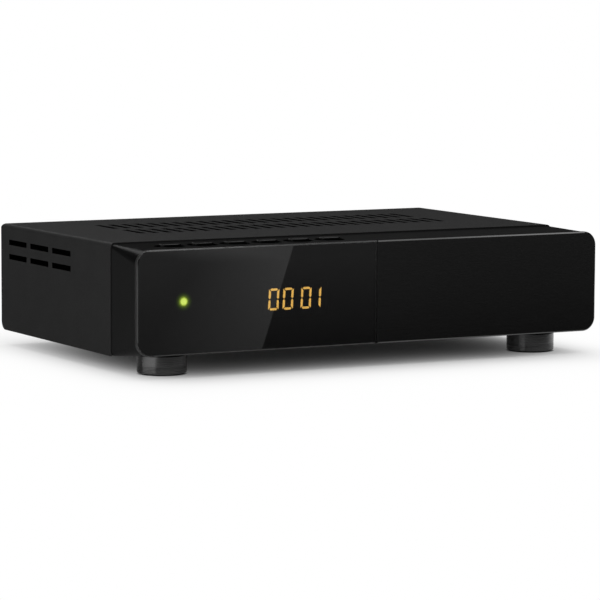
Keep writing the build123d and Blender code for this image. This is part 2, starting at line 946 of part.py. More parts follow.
with BuildPart() as main_chip:
    with BuildSketch(level(main_board_top)):
        with Locations(at(chip_x, chip_depth)):
            Rectangle(chip_side, chip_side)
    extrude(amount=chip_thick)
keep(main_chip.part, "main_chip")

with BuildPart() as heat_sink:
    with BuildSketch(level(main_board_top + chip_thick)):
        with Locations(at(chip_x, chip_depth)):
            Rectangle(sink_side, sink_side)
    extrude(amount=sink_base)
    fin_pitch = (sink_side - fin_thick) / (fin_count - 1)
    with BuildSketch(level(main_board_top + chip_thick + sink_base)):
        with Locations(at(chip_x, chip_depth)):
            with GridLocations(fin_pitch, 0, fin_count, 1):
                Rectangle(fin_thick, sink_side)
    extrude(amount=sink_height - sink_base)
keep(heat_sink.part, "heat_sink")

with BuildPart() as memory_chips:
    with BuildSketch(level(main_board_top)):
        with Locations(at(memory_x, chip_depth)):
            with GridLocations(0, memory_pitch, 1, 2):
                Rectangle(memory_length, memory_width)
    extrude(amount=memory_thick)
keep(memory_chips.part, "memory_chips")

power_jack_front = wall_inner - wall_clear - power_depth
capacitor_x = -main_board_half + capacitor_edge
capacitor_depth = power_jack_front - capacitor_gap - capacitor_radius - capacitor_pitch / 2
coil_x = capacitor_x + coil_from_capacitors

with BuildPart() as capacitors:
    with BuildSketch(level(main_board_top)):
        with Locations(at(capacitor_x, capacitor_depth)):
            with GridLocations(capacitor_pitch, capacitor_pitch, 2, 2):
                Circle(capacitor_radius)
    extrude(amount=capacitor_height)
    chamfer(capacitors.edges().group_by(Axis.Z)[-1], capacitor_bevel)
keep(capacitors.part, "capacitors")

with BuildPart() as power_coils:
    with BuildSketch(level(main_board_top)):
        with Locations(at(coil_x, capacitor_depth)):
            with GridLocations(0, coil_pitch, 1, 2):
                RectangleRounded(coil_side, coil_side, coil_round)
    extrude(amount=coil_thick)
keep(power_coils.part, "power_coils")

# ---------------------------------------------------------------- rear sockets

with BuildPart() as tuner_can:
    tuner_rear = wall_inner - tuner_gap
    with BuildSketch(level(main_board_top)):
        with Locations(at(antenna_x, tuner_rear)):
            Rectangle(tuner_width, tuner_depth, align=(Align.CENTER, Align.MAX))
    extrude(amount=tuner_height)
    fillet(tuner_can.edges().filter_by(Axis.Z), tuner_round)
    offset(amount=-tuner_wall, openings=tuner_can.faces().sort_by(Axis.Z)[0])
keep(tuner_can.part, "tuner_can")

nut_face = wall_outer + washer_thick + nut_thick

with BuildPart() as antenna_socket:
    with BuildSketch(upright(tuner_rear)):
        with Locations((antenna_x, antenna_lift)):
            Circle(antenna_radius)
    extrude(amount=-(overall_depth - tuner_rear))
    chamfer(antenna_socket.faces().sort_by(Axis.Y)[-1].edges(), antenna_chamfer)
    with BuildSketch(upright(nut_face)):
        with Locations((antenna_x, antenna_lift)):
            Circle(antenna_radius + antenna_relief_depth)
            Circle(antenna_radius - antenna_relief_depth, mode=Mode.SUBTRACT)
    extrude(amount=-antenna_relief_width, mode=Mode.SUBTRACT)
    with BuildSketch(upright(overall_depth)):
        with Locations((antenna_x, antenna_lift)):
            Circle(antenna_mouth_radius)
    extrude(amount=antenna_mouth_depth, mode=Mode.SUBTRACT)
    with BuildSketch(upright(overall_depth)):
        with Locations((antenna_x, antenna_lift)):
            Circle(antenna_pin_radius)
    extrude(amount=antenna_pin_depth, mode=Mode.SUBTRACT)
keep(antenna_socket.part, "antenna_socket")

with BuildPart() as antenna_nut:
    with BuildSketch(upright(wall_outer)):
        with Locations((antenna_x, antenna_lift)):
            Circle(washer_radius)
            Circle(antenna_radius + thread_clear, mode=Mode.SUBTRACT)
    extrude(amount=-washer_thick)
    with BuildSketch(upright(wall_outer + washer_thick)):
        with Locations((antenna_x, antenna_lift)):
            RegularPolygon(nut_across / 2, 6, major_radius=False)
            Circle(antenna_radius + thread_clear, mode=Mode.SUBTRACT)
    extrude(amount=-nut_thick)
keep(antenna_nut.part, "antenna_nut")

with BuildPart() as euro_av_socket:
    euro_face = wall_outer + socket_proud
    with BuildSketch(upright(euro_face)):
        euro_outline(0)
    extrude(amount=euro_depth + sheet + socket_proud)
    # groove for the plug's metal skirt
    with BuildSketch(upright(euro_face)):
        euro_outline(-euro_frame)
        euro_outline(-euro_frame - euro_groove, mode=Mode.SUBTRACT)
    extrude(amount=euro_groove_depth, mode=Mode.SUBTRACT)
    # two rows of contact slots
    with BuildSketch(upright(euro_face)):
        with Locations((euro_x, euro_lift)):
            with GridLocations(euro_contact_pitch, euro_contact_rows, euro_contact_count, 2):
                Rectangle(euro_contact_width, euro_contact_height)
    extrude(amount=euro_contact_depth, mode=Mode.SUBTRACT)
keep(euro_av_socket.part, "euro_av_socket")

with BuildPart() as video_socket:
    small_face = wall_outer + small_proud
    with BuildSketch(upright(small_face)):
        video_outline(0)
    extrude(amount=video_depth)
    with BuildSketch(upright(small_face)):
        video_outline(-video_wall)
    extrude(amount=video_depth - socket_floor, mode=Mode.SUBTRACT)
    with BuildSketch(upright(small_face - tongue_short)):
        with Locations((video_x, video_lift)):
            Rectangle(video_tongue_width, video_tongue_thick)
    extrude(amount=video_depth - tongue_short)
keep(video_socket.part, "video_socket")

with BuildPart() as data_socket:
    with BuildSketch(upright(small_face)):
        with Locations((data_x, data_lift)):
            Rectangle(data_width, data_height)
    extrude(amount=data_depth)
    with BuildSketch(upright(small_face)):
        with Locations((data_x, data_lift)):
            Rectangle(data_width - 2 * data_wall, data_height - 2 * data_wall)
    extrude(amount=data_depth - socket_floor, mode=Mode.SUBTRACT)
    with BuildSketch(upright(small_face - tongue_short)):
        with Locations((data_x, data_lift + data_tongue_rise)):
            Rectangle(data_tongue_width, data_tongue_thick)
    extrude(amount=data_depth - tongue_short)
keep(data_socket.part, "data_socket")

block_face = wall_inner - wall_clear

with BuildPart() as audio_jack_body:
    with BuildSketch(upright(block_face)):
        with Locations((audio_x, audio_lift)):
            Rectangle(audio_block_width, audio_block_height)
    extrude(amount=audio_block_depth)
    with BuildSketch(upright(block_face)):
        with Locations((audio_x, audio_lift)):
            Circle(audio_barrel_radius - audio_barrel_wall)
    extrude(amount=audio_core_seat, mode=Mode.SUBTRACT)
keep(audio_jack_body.part, "audio_jack_body")

audio_tip = wall_outer + audio_barrel_reach

with BuildPart() as audio_jack_barrel:
    with BuildSketch(upright(block_face)):
        with Locations((audio_x, audio_lift)):
            Circle(audio_barrel_radius)
            Circle(audio_barrel_radius - audio_barrel_wall, mode=Mode.SUBTRACT)
    extrude(amount=-(audio_tip - block_face))
    with BuildSketch(upright(block_face)):
        with Locations((audio_x, audio_lift)):
            Circle(audio_barrel_radius + audio_collar_rim)
            Circle(audio_barrel_radius - audio_barrel_wall, mode=Mode.SUBTRACT)
    extrude(amount=-(wall_outer + audio_collar_proud - block_face))
keep(audio_jack_barrel.part, "audio_jack_barrel")

with BuildPart() as audio_jack_core:
    core_rear = block_face - audio_core_seat
    with BuildSketch(upright(core_rear)):
        with Locations((audio_x, audio_lift)):
            Circle(audio_barrel_radius - audio_barrel_wall - audio_core_clear)
    extrude(amount=-(audio_tip - audio_core_short - core_rear))
    with BuildSketch(upright(audio_tip - audio_core_short)):
        with Locations((audio_x, audio_lift)):
            Circle(audio_hole_radius)
    extrude(amount=audio_hole_depth, mode=Mode.SUBTRACT)
keep(audio_jack_core.part, "audio_jack_core")

with BuildPart() as power_jack:
    with BuildSketch(upright(block_face)):
        with Locations((power_x, power_lift)):
            Rectangle(power_width, power_height)
    extrude(amount=power_depth)
    with BuildSketch(upright(block_face)):
        with Locations((power_x, power_lift)):
            Circle(power_nose_radius)
    extrude(amount=-(small_face - block_face))
    with BuildSketch(upright(small_face)):
        with Locations((power_x, power_lift)):
            Circle(power_bore_radius)
    extrude(amount=power_bore_depth, mode=Mode.SUBTRACT)
keep(power_jack.part, "power_jack")

with BuildPart() as power_jack_pin:
    with BuildSketch(upright(small_face - power_bore_depth)):
        with Locations((power_x, power_lift)):
            Circle(power_pin_radius)
    extrude(amount=-(power_bore_depth - power_pin_short))
    pin_tip = power_jack_pin.faces().sort_by(Axis.Y)[-1].edges()
    chamfer(pin_tip, power_pin_bevel)
keep(power_jack_pin.part, "power_jack_pin")

# ---------------------------------------------------------------- flat cable

main_header_depth = ribbon_drop_depth
main_header_top = main_board_top + header_height
front_header_rear = front_board_depth + board_thick + header_height

with BuildPart() as ribbon_headers:
    with BuildSketch(level(main_board_top)):
        with Locations(at(ribbon_x, main_header_depth)):
            Rectangle(ribbon_width + header_extra, header_side)
    extrude(amount=header_height)
    with BuildSketch(upright(front_board_depth + board_thick)):
        with Locations((ribbon_x, ribbon_lift)):
            Rectangle(ribbon_width + header_extra, header_side)
    extrude(amount=-header_height)
keep(ribbon_headers.part, "ribbon_headers")

with BuildPart() as ribbon_cable:
    # level run back from the front board, one bend, then down into the main board's header
    with BuildSketch(Plane.YZ.offset(ribbon_x)):
        with BuildLine():
            bend_start = (face_y + ribbon_drop_depth - ribbon_bend, ribbon_lift)
            Line((face_y + front_header_rear, ribbon_lift), bend_start)
            RadiusArc(
                bend_start,
                (face_y + ribbon_drop_depth, ribbon_lift - ribbon_bend),
                ribbon_bend,
            )
            Line(
                (face_y + ribbon_drop_depth, ribbon_lift - ribbon_bend),
                (face_y + ribbon_drop_depth, main_header_top),
            )
        trace(line_width=ribbon_thick)
    extrude(amount=ribbon_width / 2, both=True)
keep(ribbon_cable.part, "ribbon_cable")

# ---------------------------------------------------------------- screws


def pan_screws(plane, places, radius, length, head, rise):
    """Screws in local coordinates: heads on the plane's outer side, shanks behind it."""
    with BuildPart() as screws:
        with BuildSketch(plane):
            with Locations(*places):
                Circle(radius)
        extrude(amount=-length)
        with BuildSketch(plane):
            with Locations(*places):
                Circle(head)
        extrude(amount=rise)
    return screws.part


def facing_back(depth):
    """Upright plane facing the rear at this depth: local X runs towards -X."""
    return Plane(origin=(0, face_y + depth, 0), x_dir=(-1, 0, 0), z_dir=(0, 1, 0))


def facing_down(height):
    """Horizontal plane facing the table: local X is X, local Y runs towards the front."""
    return Plane(origin=(0, 0, height), x_dir=(1, 0, 0), z_dir=(0, 0, -1))


cover_screws = pan_screws(
    facing_back(case_depth),
    [(-x, cover_screw_lift) for x in cover_screw_places],
    screw_radius,
    cover_screw_length,
    head_radius,
    head_height,
)
keep(cover_screws, "cover_screws")

bezel_screws = pan_screws(
    facing_back(bezel_rear + sheet),
    [(-bezel_screw_x, bezel_screw_lift), (bezel_screw_x, bezel_screw_lift)],
    screw_radius,
    bezel_screw_length,
    head_radius,
    head_height,
)
keep(bezel_screws, "bezel_screws")

main_board_screws = pan_screws(
    level(main_board_top),
    [at(x, depth) for x, depth in main_post_places],
    screw_radius,
    board_screw_length,
    head_radius,
    head_height,
)
keep(main_board_screws, "main_board_screws")

front_board_screws = pan_screws(
    facing_back(front_board_depth + board_thick),
    [(-x, lift) for x, lift in front_post_places],
    small_screw_radius,
    front_screw_length,
    small_head_radius,
    small_head_height,
)
keep(front_board_screws, "front_board_screws")

key_board_screws = pan_screws(
    facing_down(key_board_low),
    [(x, -(face_y + key_post_depth)) for x in key_post_places],
    small_screw_radius,
    key_screw_length,
    small_head_radius,
    small_head_height,
)
keep(key_board_screws, "key_board_screws")

foot_screws = pan_screws(
    facing_down(foot_seat - foot_wall),
    [(x, -(face_y + depth)) for x, depth in foot_places.values()],
    screw_radius,
    foot_screw_length,
    head_radius,
    head_height,
)
keep(foot_screws, "foot_screws")

# ---------------------------------------------------------------- feet

for corner, (x, depth) in foot_places.items():
    with BuildPart() as foot:
        with BuildSketch(level(pad_proud)):
            with Locations(at(x, depth)):
                Circle(foot_radius)
        extrude(amount=foot_seat - pad_proud)
        chamfer(foot.faces().sort_by(Axis.Z)[0].edges(), foot_bevel)
        # recess for the pad, well for the screw head, hole for its shank
        with BuildSketch(level(pad_proud)):
            with Locations(at(x, depth)):
                Circle(pad_radius + pad_clear)
        extrude(amount=pad_thick - pad_proud, mode=Mode.SUBTRACT)
        with BuildSketch(level(pad_thick)):
            with Locations(at(x, depth)):
                Circle(foot_well_radius)
        extrude(amount=foot_seat - foot_wall - pad_thick, mode=Mode.SUBTRACT)
        with BuildSketch(level(foot_seat)):
            with Locations(at(x, depth)):
                Circle(screw_radius + screw_clear)
        extrude(amount=-foot_wall, mode=Mode.SUBTRACT)
    keep(foot.part, f"foot_{corner}")

    with BuildPart() as pad:
        with BuildSketch(level(0)):
            with Locations(at(x, depth)):
                Circle(pad_radius)
        extrude(amount=pad_thick)
    keep(pad.part, f"pad_{corner}")
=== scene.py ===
# %% Load the frame
import bmesh
import bpy
import json
import math
from mathutils import Matrix, Vector

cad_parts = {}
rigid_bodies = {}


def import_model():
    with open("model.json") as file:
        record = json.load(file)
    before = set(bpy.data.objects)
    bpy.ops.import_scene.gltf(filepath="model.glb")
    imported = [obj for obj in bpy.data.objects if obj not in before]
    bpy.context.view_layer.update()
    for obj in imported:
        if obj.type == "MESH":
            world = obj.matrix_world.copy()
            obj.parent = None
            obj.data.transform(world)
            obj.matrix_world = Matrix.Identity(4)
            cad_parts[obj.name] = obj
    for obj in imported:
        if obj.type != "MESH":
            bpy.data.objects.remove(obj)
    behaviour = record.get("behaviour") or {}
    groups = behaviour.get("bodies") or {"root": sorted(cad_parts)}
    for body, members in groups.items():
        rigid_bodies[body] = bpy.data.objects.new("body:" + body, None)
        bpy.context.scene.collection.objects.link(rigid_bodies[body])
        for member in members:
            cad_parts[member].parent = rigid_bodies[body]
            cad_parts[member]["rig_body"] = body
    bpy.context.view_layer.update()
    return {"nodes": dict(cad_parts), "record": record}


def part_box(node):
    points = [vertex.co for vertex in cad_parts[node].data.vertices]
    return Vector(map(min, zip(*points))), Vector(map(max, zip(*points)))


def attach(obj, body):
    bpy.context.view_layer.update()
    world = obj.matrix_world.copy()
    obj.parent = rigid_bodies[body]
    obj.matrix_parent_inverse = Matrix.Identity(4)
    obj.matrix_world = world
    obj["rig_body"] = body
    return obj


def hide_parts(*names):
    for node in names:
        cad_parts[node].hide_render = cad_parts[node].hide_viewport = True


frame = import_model()
record = frame["record"]

# %% [markdown]
# # A small satellite receiver, dressed for its portrait
#
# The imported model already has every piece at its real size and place: a bent steel
# cover, a steel tray, a moulded bezel, a front plate in two halves, keys, feet, boards
# and sockets. This lesson gives them their finishes, rebuilds the pieces whose edges
# catch the light as fine meshes, and lights the whole as a product studio would.
# Everything is in metres, with +Z up and the front facing -Y.

# %% [markdown]
# ## The camera
#
# A product camera stands far away with a long lens, so that the box keeps nearly
# parallel edges. It could be aimed with a Track To constraint, but a matrix built from
# azimuth, elevation and roll says exactly where it looks, and nothing can drift.

# %% The camera
mm = 0.001
scene = bpy.context.scene
camera_place = Vector((-675.58, -1261.31, 169.25)) * mm
camera_azimuth = math.radians(-28.390)
camera_elevation = math.radians(5.923)
camera_roll = math.radians(0.182)
camera_lens = 196.9
camera_sensor = 36.0

back = Vector((
    math.sin(camera_azimuth) * math.cos(camera_elevation),
    -math.cos(camera_azimuth) * math.cos(camera_elevation),
    math.sin(camera_elevation),
))
level_right = (-back).cross(Vector((0, 0, 1))).normalized()
level_up = level_right.cross(-back)
right = math.cos(camera_roll) * level_right + math.sin(camera_roll) * level_up
up = -math.sin(camera_roll) * level_right + math.cos(camera_roll) * level_up

camera_data = bpy.data.cameras.new("portrait_camera")
camera_data.lens = camera_lens
camera_data.sensor_width = camera_sensor
camera = bpy.data.objects.new("portrait_camera", camera_data)
scene.collection.objects.link(camera)
camera_turn = Matrix((right, up, back)).transposed().to_4x4()
camera.matrix_world = Matrix.Translation(camera_place) @ camera_turn
scene.camera = camera
print("camera stands", round(camera_place.length, 3), "m from the receiver")

# %% [markdown]
# ## Nodes from code
#
# Every finish below is a tree of shader nodes. They could be drawn by hand in the node
# editor, but as code each one is a line that can be read, copied and named. These few
# helpers put a node down, join it, and do sums on whatever they are given.

# %% Helpers for nodes


def put(tree, kind, **values):
    """A new node in a tree, with its inputs or settings given by name."""
    node = tree.nodes.new(kind)
    for name, value in values.items():
        if hasattr(node, name):
            setattr(node, name, value)
        else:
            node.inputs[name.replace("_", " ")].default_value = value
    return node


def feed(tree, source, entry):
    """Join an output to an input, or set the input to a plain value."""
    if isinstance(source, bpy.types.NodeSocket):
        tree.links.new(source, entry)
    else:
        entry.default_value = source


def maths(tree, operation, *terms):
    """A sum on outputs and plain numbers."""
    node = put(tree, "ShaderNodeMath", operation=operation)
    for term, entry in zip(terms, node.inputs):
        feed(tree, term, entry)
    return node.outputs[0]


def vector_maths(tree, operation, *terms):
    """The same for vectors; a length comes out as a number."""
    node = put(tree, "ShaderNodeVectorMath", operation=operation)
    for term, entry in zip(terms, node.inputs):
        feed(tree, term, entry)
    return node.outputs["Value" if operation == "LENGTH" else "Vector"]


def mixed_shader(tree, share, first, second):
    """The first shader where the share is 0, the second where it is 1."""
    mix = put(tree, "ShaderNodeMixShader")
    for term, entry in zip((share, first.outputs[0], second.outputs[0]), mix.inputs):
        feed(tree, term, entry)
    return mix


def new_material(name, kind="ShaderNodeBsdfPrincipled", **values):
    """A material with one shader of this kind; returns material, tree and shader."""
    material = bpy.data.materials.new(name)
    material.use_nodes = True
    tree = material.node_tree
    tree.nodes.clear()
    shader = put(tree, kind, **values)
    feed(tree, shader.outputs[0], put(tree, "ShaderNodeOutputMaterial").inputs["Surface"])
    return material, tree, shader


# %% [markdown]
# ## The studio
#
# A dark, glossy object is lit by what it reflects. One broad soft lamp hangs overhead,
# a second stands to the left, and the world gives a weak fill from all around. A far
# lamp behind only draws a sheen. The white ground is the colour of the floor and of the
# world, seen by camera, glossy and transmission rays only, so it adds no light to the
# object.

# %% World and lamps
scene.view_settings.view_transform = "Standard"
fill_level = 0.34
lamp_aim = Vector((0, 0, 0.03))


def seen_rays(tree):
    """1 for camera, glossy and transmission rays, 0 for the light that rays gather."""
    rays = put(tree, "ShaderNodeLightPath").outputs
    direct = maths(tree, "MAXIMUM", rays["Is Camera Ray"], rays["Is Glossy Ray"])
    return maths(tree, "MAXIMUM", direct, rays["Is Transmission Ray"])


def soft_lamp(name, place, width, height, watts):
    """A rectangular area lamp that faces the receiver."""
    data = bpy.data.lights.new(name, "AREA")
    data.shape = "RECTANGLE"
    data.size = width
    data.size_y = height
    data.energy = watts
    lamp = bpy.data.objects.new(name, data)
    scene.collection.objects.link(lamp)
    aim = (Vector(place) - lamp_aim).to_track_quat("Z", "Y")
    lamp.matrix_world = Matrix.Translation(place) @ aim.to_matrix().to_4x4()
    print(name, "radiance", round(watts / (math.pi * width * height), 2))
    return lamp


world = bpy.data.worlds.new("studio")
scene.world = world
world.use_nodes = True
tree = world.node_tree
tree.nodes.clear()
ambient = put(tree, "ShaderNodeBackground", Color=(1, 1, 1, 1), Strength=fill_level)
white = put(tree, "ShaderNodeBackground", Color=(1, 1, 1, 1), Strength=1.0)
shown = mixed_shader(tree, seen_rays(tree), ambient, white)
feed(tree, shown.outputs[0], put(tree, "ShaderNodeOutputWorld").inputs["Surface"])

soft_lamp("overhead_softbox", (0.05, 0.10, 0.85), width=1.1, height=0.9, watts=5.2)
edge_strip = soft_lamp("edge_strip", (0.12, 1.72, 1.03), width=0.60, height=0.50, watts=1.5)
edge_strip.visible_diffuse = False
left_softbox = soft_lamp("left_softbox", (-1.10, -0.25, 0.55), width=0.8, height=0.8, watts=3.3)
left_softbox.visible_glossy = False

# %% [markdown]
# ## Measuring inside a material
#
# A finish may change from place to place: darker in a slot, brighter at a rim. Vertex
# colours would tie it to the mesh, so here nodes measure where the shaded point lies
# and turn that distance into a share from 0 to 1.

# %% Helpers that measure


def ramp_of(tree, source, start, end, low=0.0, high=1.0, clamp=True):
    """Value that runs from low to high while the source runs from start to end."""
    ramp = put(
        tree, "ShaderNodeMapRange", clamp=clamp, From_Min=start, From_Max=end, To_Min=low, To_Max=high
    )
    feed(tree, source, ramp.inputs["Value"])
    return ramp.outputs["Result"]


def parts_of(tree, vector):
    """X, Y and Z of a vector."""
    split = put(tree, "ShaderNodeSeparateXYZ")
    feed(tree, vector, split.inputs[0])
    return split.outputs[:]


def place_parts(tree):
    """X, Y and Z of the shaded point."""
    return parts_of(tree, put(tree, "ShaderNodeNewGeometry").outputs["Position"])


def level_distance(tree, x, y, centre_x, centre_y):
    """Distance from an upright axis."""
    pair = put(tree, "ShaderNodeCombineXYZ")
    feed(tree, maths(tree, "SUBTRACT", x, centre_x), pair.inputs["X"])
    feed(tree, maths(tree, "SUBTRACT", y, centre_y), pair.inputs["Y"])
    return vector_maths(tree, "LENGTH", pair.outputs[0])


def box_of(node_name):
    """Low corner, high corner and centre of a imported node."""
    low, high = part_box(node_name)
    return low, high, (low + high) / 2


plate_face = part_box("brushed_panel")[0].y
cover_low, cover_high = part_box("top_cover")
print("front face at", round(plate_face / mm, 2), "mm, cover's back at", round(cover_high.y / mm, 2))

# %% [markdown]
# ## Floor with a painted shadow
#
# The floor is matt paper under the receiver, which turns into an even white glow towards its edges. Where the
# glow fades out round the receiver, its shadow is painted: the glow reaches further in from the front than
# from the sides, and is taken away under the feet, which paints their shadows there.

# %% Helpers for sheets and glow


def sheet_mesh(name, corners):
    """One flat face through the given corners."""
    mesh = bpy.data.meshes.new(name)
    mesh.from_pydata([Vector(c) for c in corners], [], [list(range(len(corners)))])
    sheet = bpy.data.objects.new(name, mesh)
    scene.collection.objects.link(sheet)
    return sheet


def rectangle(left, right, front, behind, height):
    """Corners of a level rectangle."""
    return [(left, front, height), (right, front, height), (right, behind, height), (left, behind, height)]


def painted_shadow_steps(tree, source, edge, way, half_at, soft):
    """How many softness steps a point lies outside the line where the painted shadow lets half the glow
    through.
    """
    half_line = edge + way * half_at
    return ramp_of(tree, source, half_line, half_line + way * soft, clamp=False)


# %% Floor
floor_half = 3.0
paper_white = (0.86, 0.86, 0.86, 1)
painted_shadow_corner = 7.0  # how far, in softness steps, the sides blend at the corners
# Painted shadow under the feet:
foot_painted_shadow_in = 0.8 * mm  # the dark under a foot starts to fade this far inside its edge
foot_painted_shadow_out = 0.2 * mm  # and ends this far outside

floor = sheet_mesh("floor", rectangle(-floor_half, floor_half, -floor_half, floor_half, 0))
floor_with_painted_shadow, tree, paper = new_material("floor_with_painted_shadow", "ShaderNodeBsdfDiffuse", Color=paper_white)
floor.data.materials.append(floor_with_painted_shadow)
x, y, z = place_parts(tree)
aside = maths(tree, "ABSOLUTE", x)
# The glow fades out towards the receiver's footprint; this fall-off is its painted shadow.
from_side = painted_shadow_steps(tree, aside, cover_high.x, 1, half_at=1.3 * mm, soft=6.6 * mm)
from_front = painted_shadow_steps(tree, y, plate_face, -1, half_at=9.9 * mm, soft=11.4 * mm)
from_back = painted_shadow_steps(tree, y, cover_high.y, 1, half_at=12.0 * mm, soft=17.4 * mm)
steps_out = maths(tree, "SMOOTH_MAX", from_side, from_front, painted_shadow_corner)
steps_out = maths(tree, "SMOOTH_MAX", steps_out, from_back, painted_shadow_corner)
# the glow follows the S-curve 1 / (1 + exp(-steps))
decay = maths(tree, "EXPONENT", maths(tree, "MULTIPLY", steps_out, -1.0))
painted_glow_share = maths(tree, "DIVIDE", 1.0, maths(tree, "ADD", decay, 1.0))
# Under each foot the glow is taken away: a painted shadow.
for node_name in ("foot_front_left", "foot_rear_left"):  # and their twins on the right
    low, high, centre = box_of(node_name)
    radius = (high.x - low.x) / 2
    off_foot = level_distance(tree, aside, y, abs(centre.x), centre.y)
    beside_painted_foot_shadow = ramp_of(tree, off_foot, radius - foot_painted_shadow_in, radius + foot_painted_shadow_out)
    painted_glow_share = maths(tree, "MULTIPLY", painted_glow_share, beside_painted_foot_shadow)
glow = put(tree, "ShaderNodeEmission", Color=(1, 1, 1, 1), Strength=1.0)
table = mixed_shader(tree, painted_glow_share, paper, glow)
seen = mixed_shader(tree, seen_rays(tree), paper, table)
feed(tree, seen.outputs[0], tree.nodes["Material Output"].inputs["Surface"])
print("floor nodes:", len(tree.nodes))

# %% [markdown]
# ## Cards that only reflections see
#
# A dark glossy object shows its room, so the room is built from cards. Real cards would
# shade the light table. These glow a little by themselves, are seen by glossy rays only
# and cast no shadow, so the table stays white around the receiver.

# %% Helpers for cards


def glow_material(name, strength):
    """An even glow, or one whose strength is worked out by a function of its tree."""
    material, tree, glow = new_material(name, "ShaderNodeEmission", Color=(1, 1, 1, 1))
    feed(tree, strength(tree) if callable(strength) else strength, glow.inputs["Strength"])
    return material


def glossy_only(sheet, material):
    """Let only reflections see the sheet."""
    sheet.data.materials.append(material)
    sheet.visible_camera = False
    sheet.visible_diffuse = False
    sheet.visible_transmission = False
    sheet.visible_shadow = False


def card(name, corners, material):
    """A flat card for the reflections."""
    glossy_only(sheet_mesh(name, corners), material)


# %% [markdown]
# ## Black felt
#
# A studio lays black felt just outside the picture and leaves one side open, so that
# the left edges catch a white line. An even black would look painted on, so the felt
# gets a little paler with distance, as real pile does at a lower angle.

# %% Felt
felt_lift = 0.4 * mm
felt_near = plate_face - 0.5 * mm  # leaves room for the strip that lights the lower rim
felt_far = plate_face - 1.4
felt_reach = 1.6
pile_dark, pile_pale = 0.085, 0.27
open_corner = Vector((-cover_high.x + 10 * mm, plate_face, felt_lift))
open_front = math.radians(58)  # the white side starts here, from straight ahead to the left
open_back = math.radians(131)  # and ends here


def leftwards(angle, distance):
    """Point on the table at an angle to the left of straight ahead, from the open corner."""
    return open_corner + Vector((-math.sin(angle), -math.cos(angle), 0)) * distance


def felt_edge(y):
    """Point at this Y on the felt's edge along the open side."""
    return leftwards(open_front, (plate_face - y) / math.cos(open_front))


def felt_level(tree):
    """Brightness of the felt by its distance in front of the plate."""
    x, y, z = place_parts(tree)
    return ramp_of(tree, y, plate_face - 0.08, plate_face - 0.45, pile_dark, pile_pale)


card("front_felt", [
    felt_edge(felt_far), (felt_reach, felt_far, felt_lift),
    (felt_reach, felt_near, felt_lift), felt_edge(felt_near),
], glow_material("front_felt", felt_level))
print("felt starts", round((plate_face - felt_near) / mm, 1), "mm in front of the plate")

# %% [markdown]
# ## A slanted card
#
# The smoked window shows a pale diagonal: the mirror image of a card on the felt with a
# slanted edge. The card is brightest along that edge and falls off from it, as under a
# lamp that stands close by.

# %% Slanted card
card_lift = 2 * felt_lift  # for what lies on the felt
edge_near = Vector((-0.0074, plate_face - 0.0856, card_lift))
edge_far = Vector((0.198, plate_face - 0.445, card_lift))
edge_step = edge_far - edge_near
pale_left = -0.125
pale_width = 58 * mm  # over this much the card falls off


def pale_level(tree):
    """The card is brightest along its slanted edge and far away."""
    x, y, z = place_parts(tree)
    edge_x = ramp_of(tree, y, edge_near.y, edge_far.y, edge_near.x, edge_far.x)
    inward = maths(tree, "SUBTRACT", edge_x, x)
    fall = ramp_of(tree, inward, 0, pale_width, low=1.0, high=0.42)
    level = ramp_of(tree, y, edge_near.y, edge_far.y, low=0.47, high=0.81)
    return maths(tree, "MULTIPLY", fall, level)


card_start, card_end = edge_near - 0.15 * edge_step, edge_near + 1.5 * edge_step
card("pale_card", [
    card_start, card_end, (pale_left, card_end.y, card_lift), (pale_left, card_start.y, card_lift),
], glow_material("pale_card", pale_level))
print("slanted edge:", round(math.degrees(math.atan2(edge_step.x, -edge_step.y)), 1), "degrees")

# %% [markdown]
# ## Strips for the rims
#
# A polished chamfer is a thin mirror, and shows as a line of light only where it finds
# something bright. A narrow strip under the plate's lower edge lights that rim, with a
# patch under the corner. A wedge of white on the open side lights the left rim and the
# seam, and a card high over the left front the rounded upper corner.

# %% Strips for the rims
strip_left = -0.0995
strip_right = 0.112
strip_back = plate_face + 2.2 * mm
patch_left = -0.116
wedge_front, wedge_back = math.radians(59.5), math.radians(66.5)
wedge_near, wedge_far = 0.03, 0.7
wedge_lift = Vector((0, 0, felt_lift))

rim_strip = glow_material("rim_strip", 0.60)
strip_front, patch_front = plate_face + 0.3 * mm, plate_face - 4.5 * mm
card("rim_strip", rectangle(strip_left, strip_right, strip_front, strip_back, felt_lift), rim_strip)
card("rim_strip_end", rectangle(patch_left, strip_left, patch_front, strip_back, card_lift), rim_strip)
card("bright_wedge", [
    leftwards(wedge_front, wedge_near) + wedge_lift, leftwards(wedge_front, wedge_far) + wedge_lift,
    leftwards(wedge_back, wedge_far) + wedge_lift, leftwards(wedge_back, wedge_near) + wedge_lift,
], glow_material("bright_wedge", 1.45))
over_left_front = rectangle(left=-1.3, right=-0.28, front=-0.95, behind=-0.12, height=0.8)
card("corner_card", over_left_front, glow_material("corner_card", 1.2))
print("strip under the rim:", round((strip_right - strip_left) / mm), "mm long")

# %% [markdown]
# ## Sides, drapes and ceiling
#
# The cover's side mirrors the table on the left, which gets a dim card. Behind lies more
# felt, and black drapes hang in a wide bow, with a dark grey one where the bezel's top
# mirrors the room. A grey ceiling closes the studio.

# %% Sides, drapes and ceiling
room_back = 2.2
room_height = 1.5
drape_radius = 2.2
drape_steps = 40
rear_gap = 0.03  # between the cover and the felt behind it


def arc(first, last, steps):
    """Cosine and sine at even steps between two angles in degrees, both included."""
    turns = [math.radians(first + (last - first) * i / steps) for i in range(steps + 1)]
    return [(math.cos(turn), math.sin(turn)) for turn in turns]


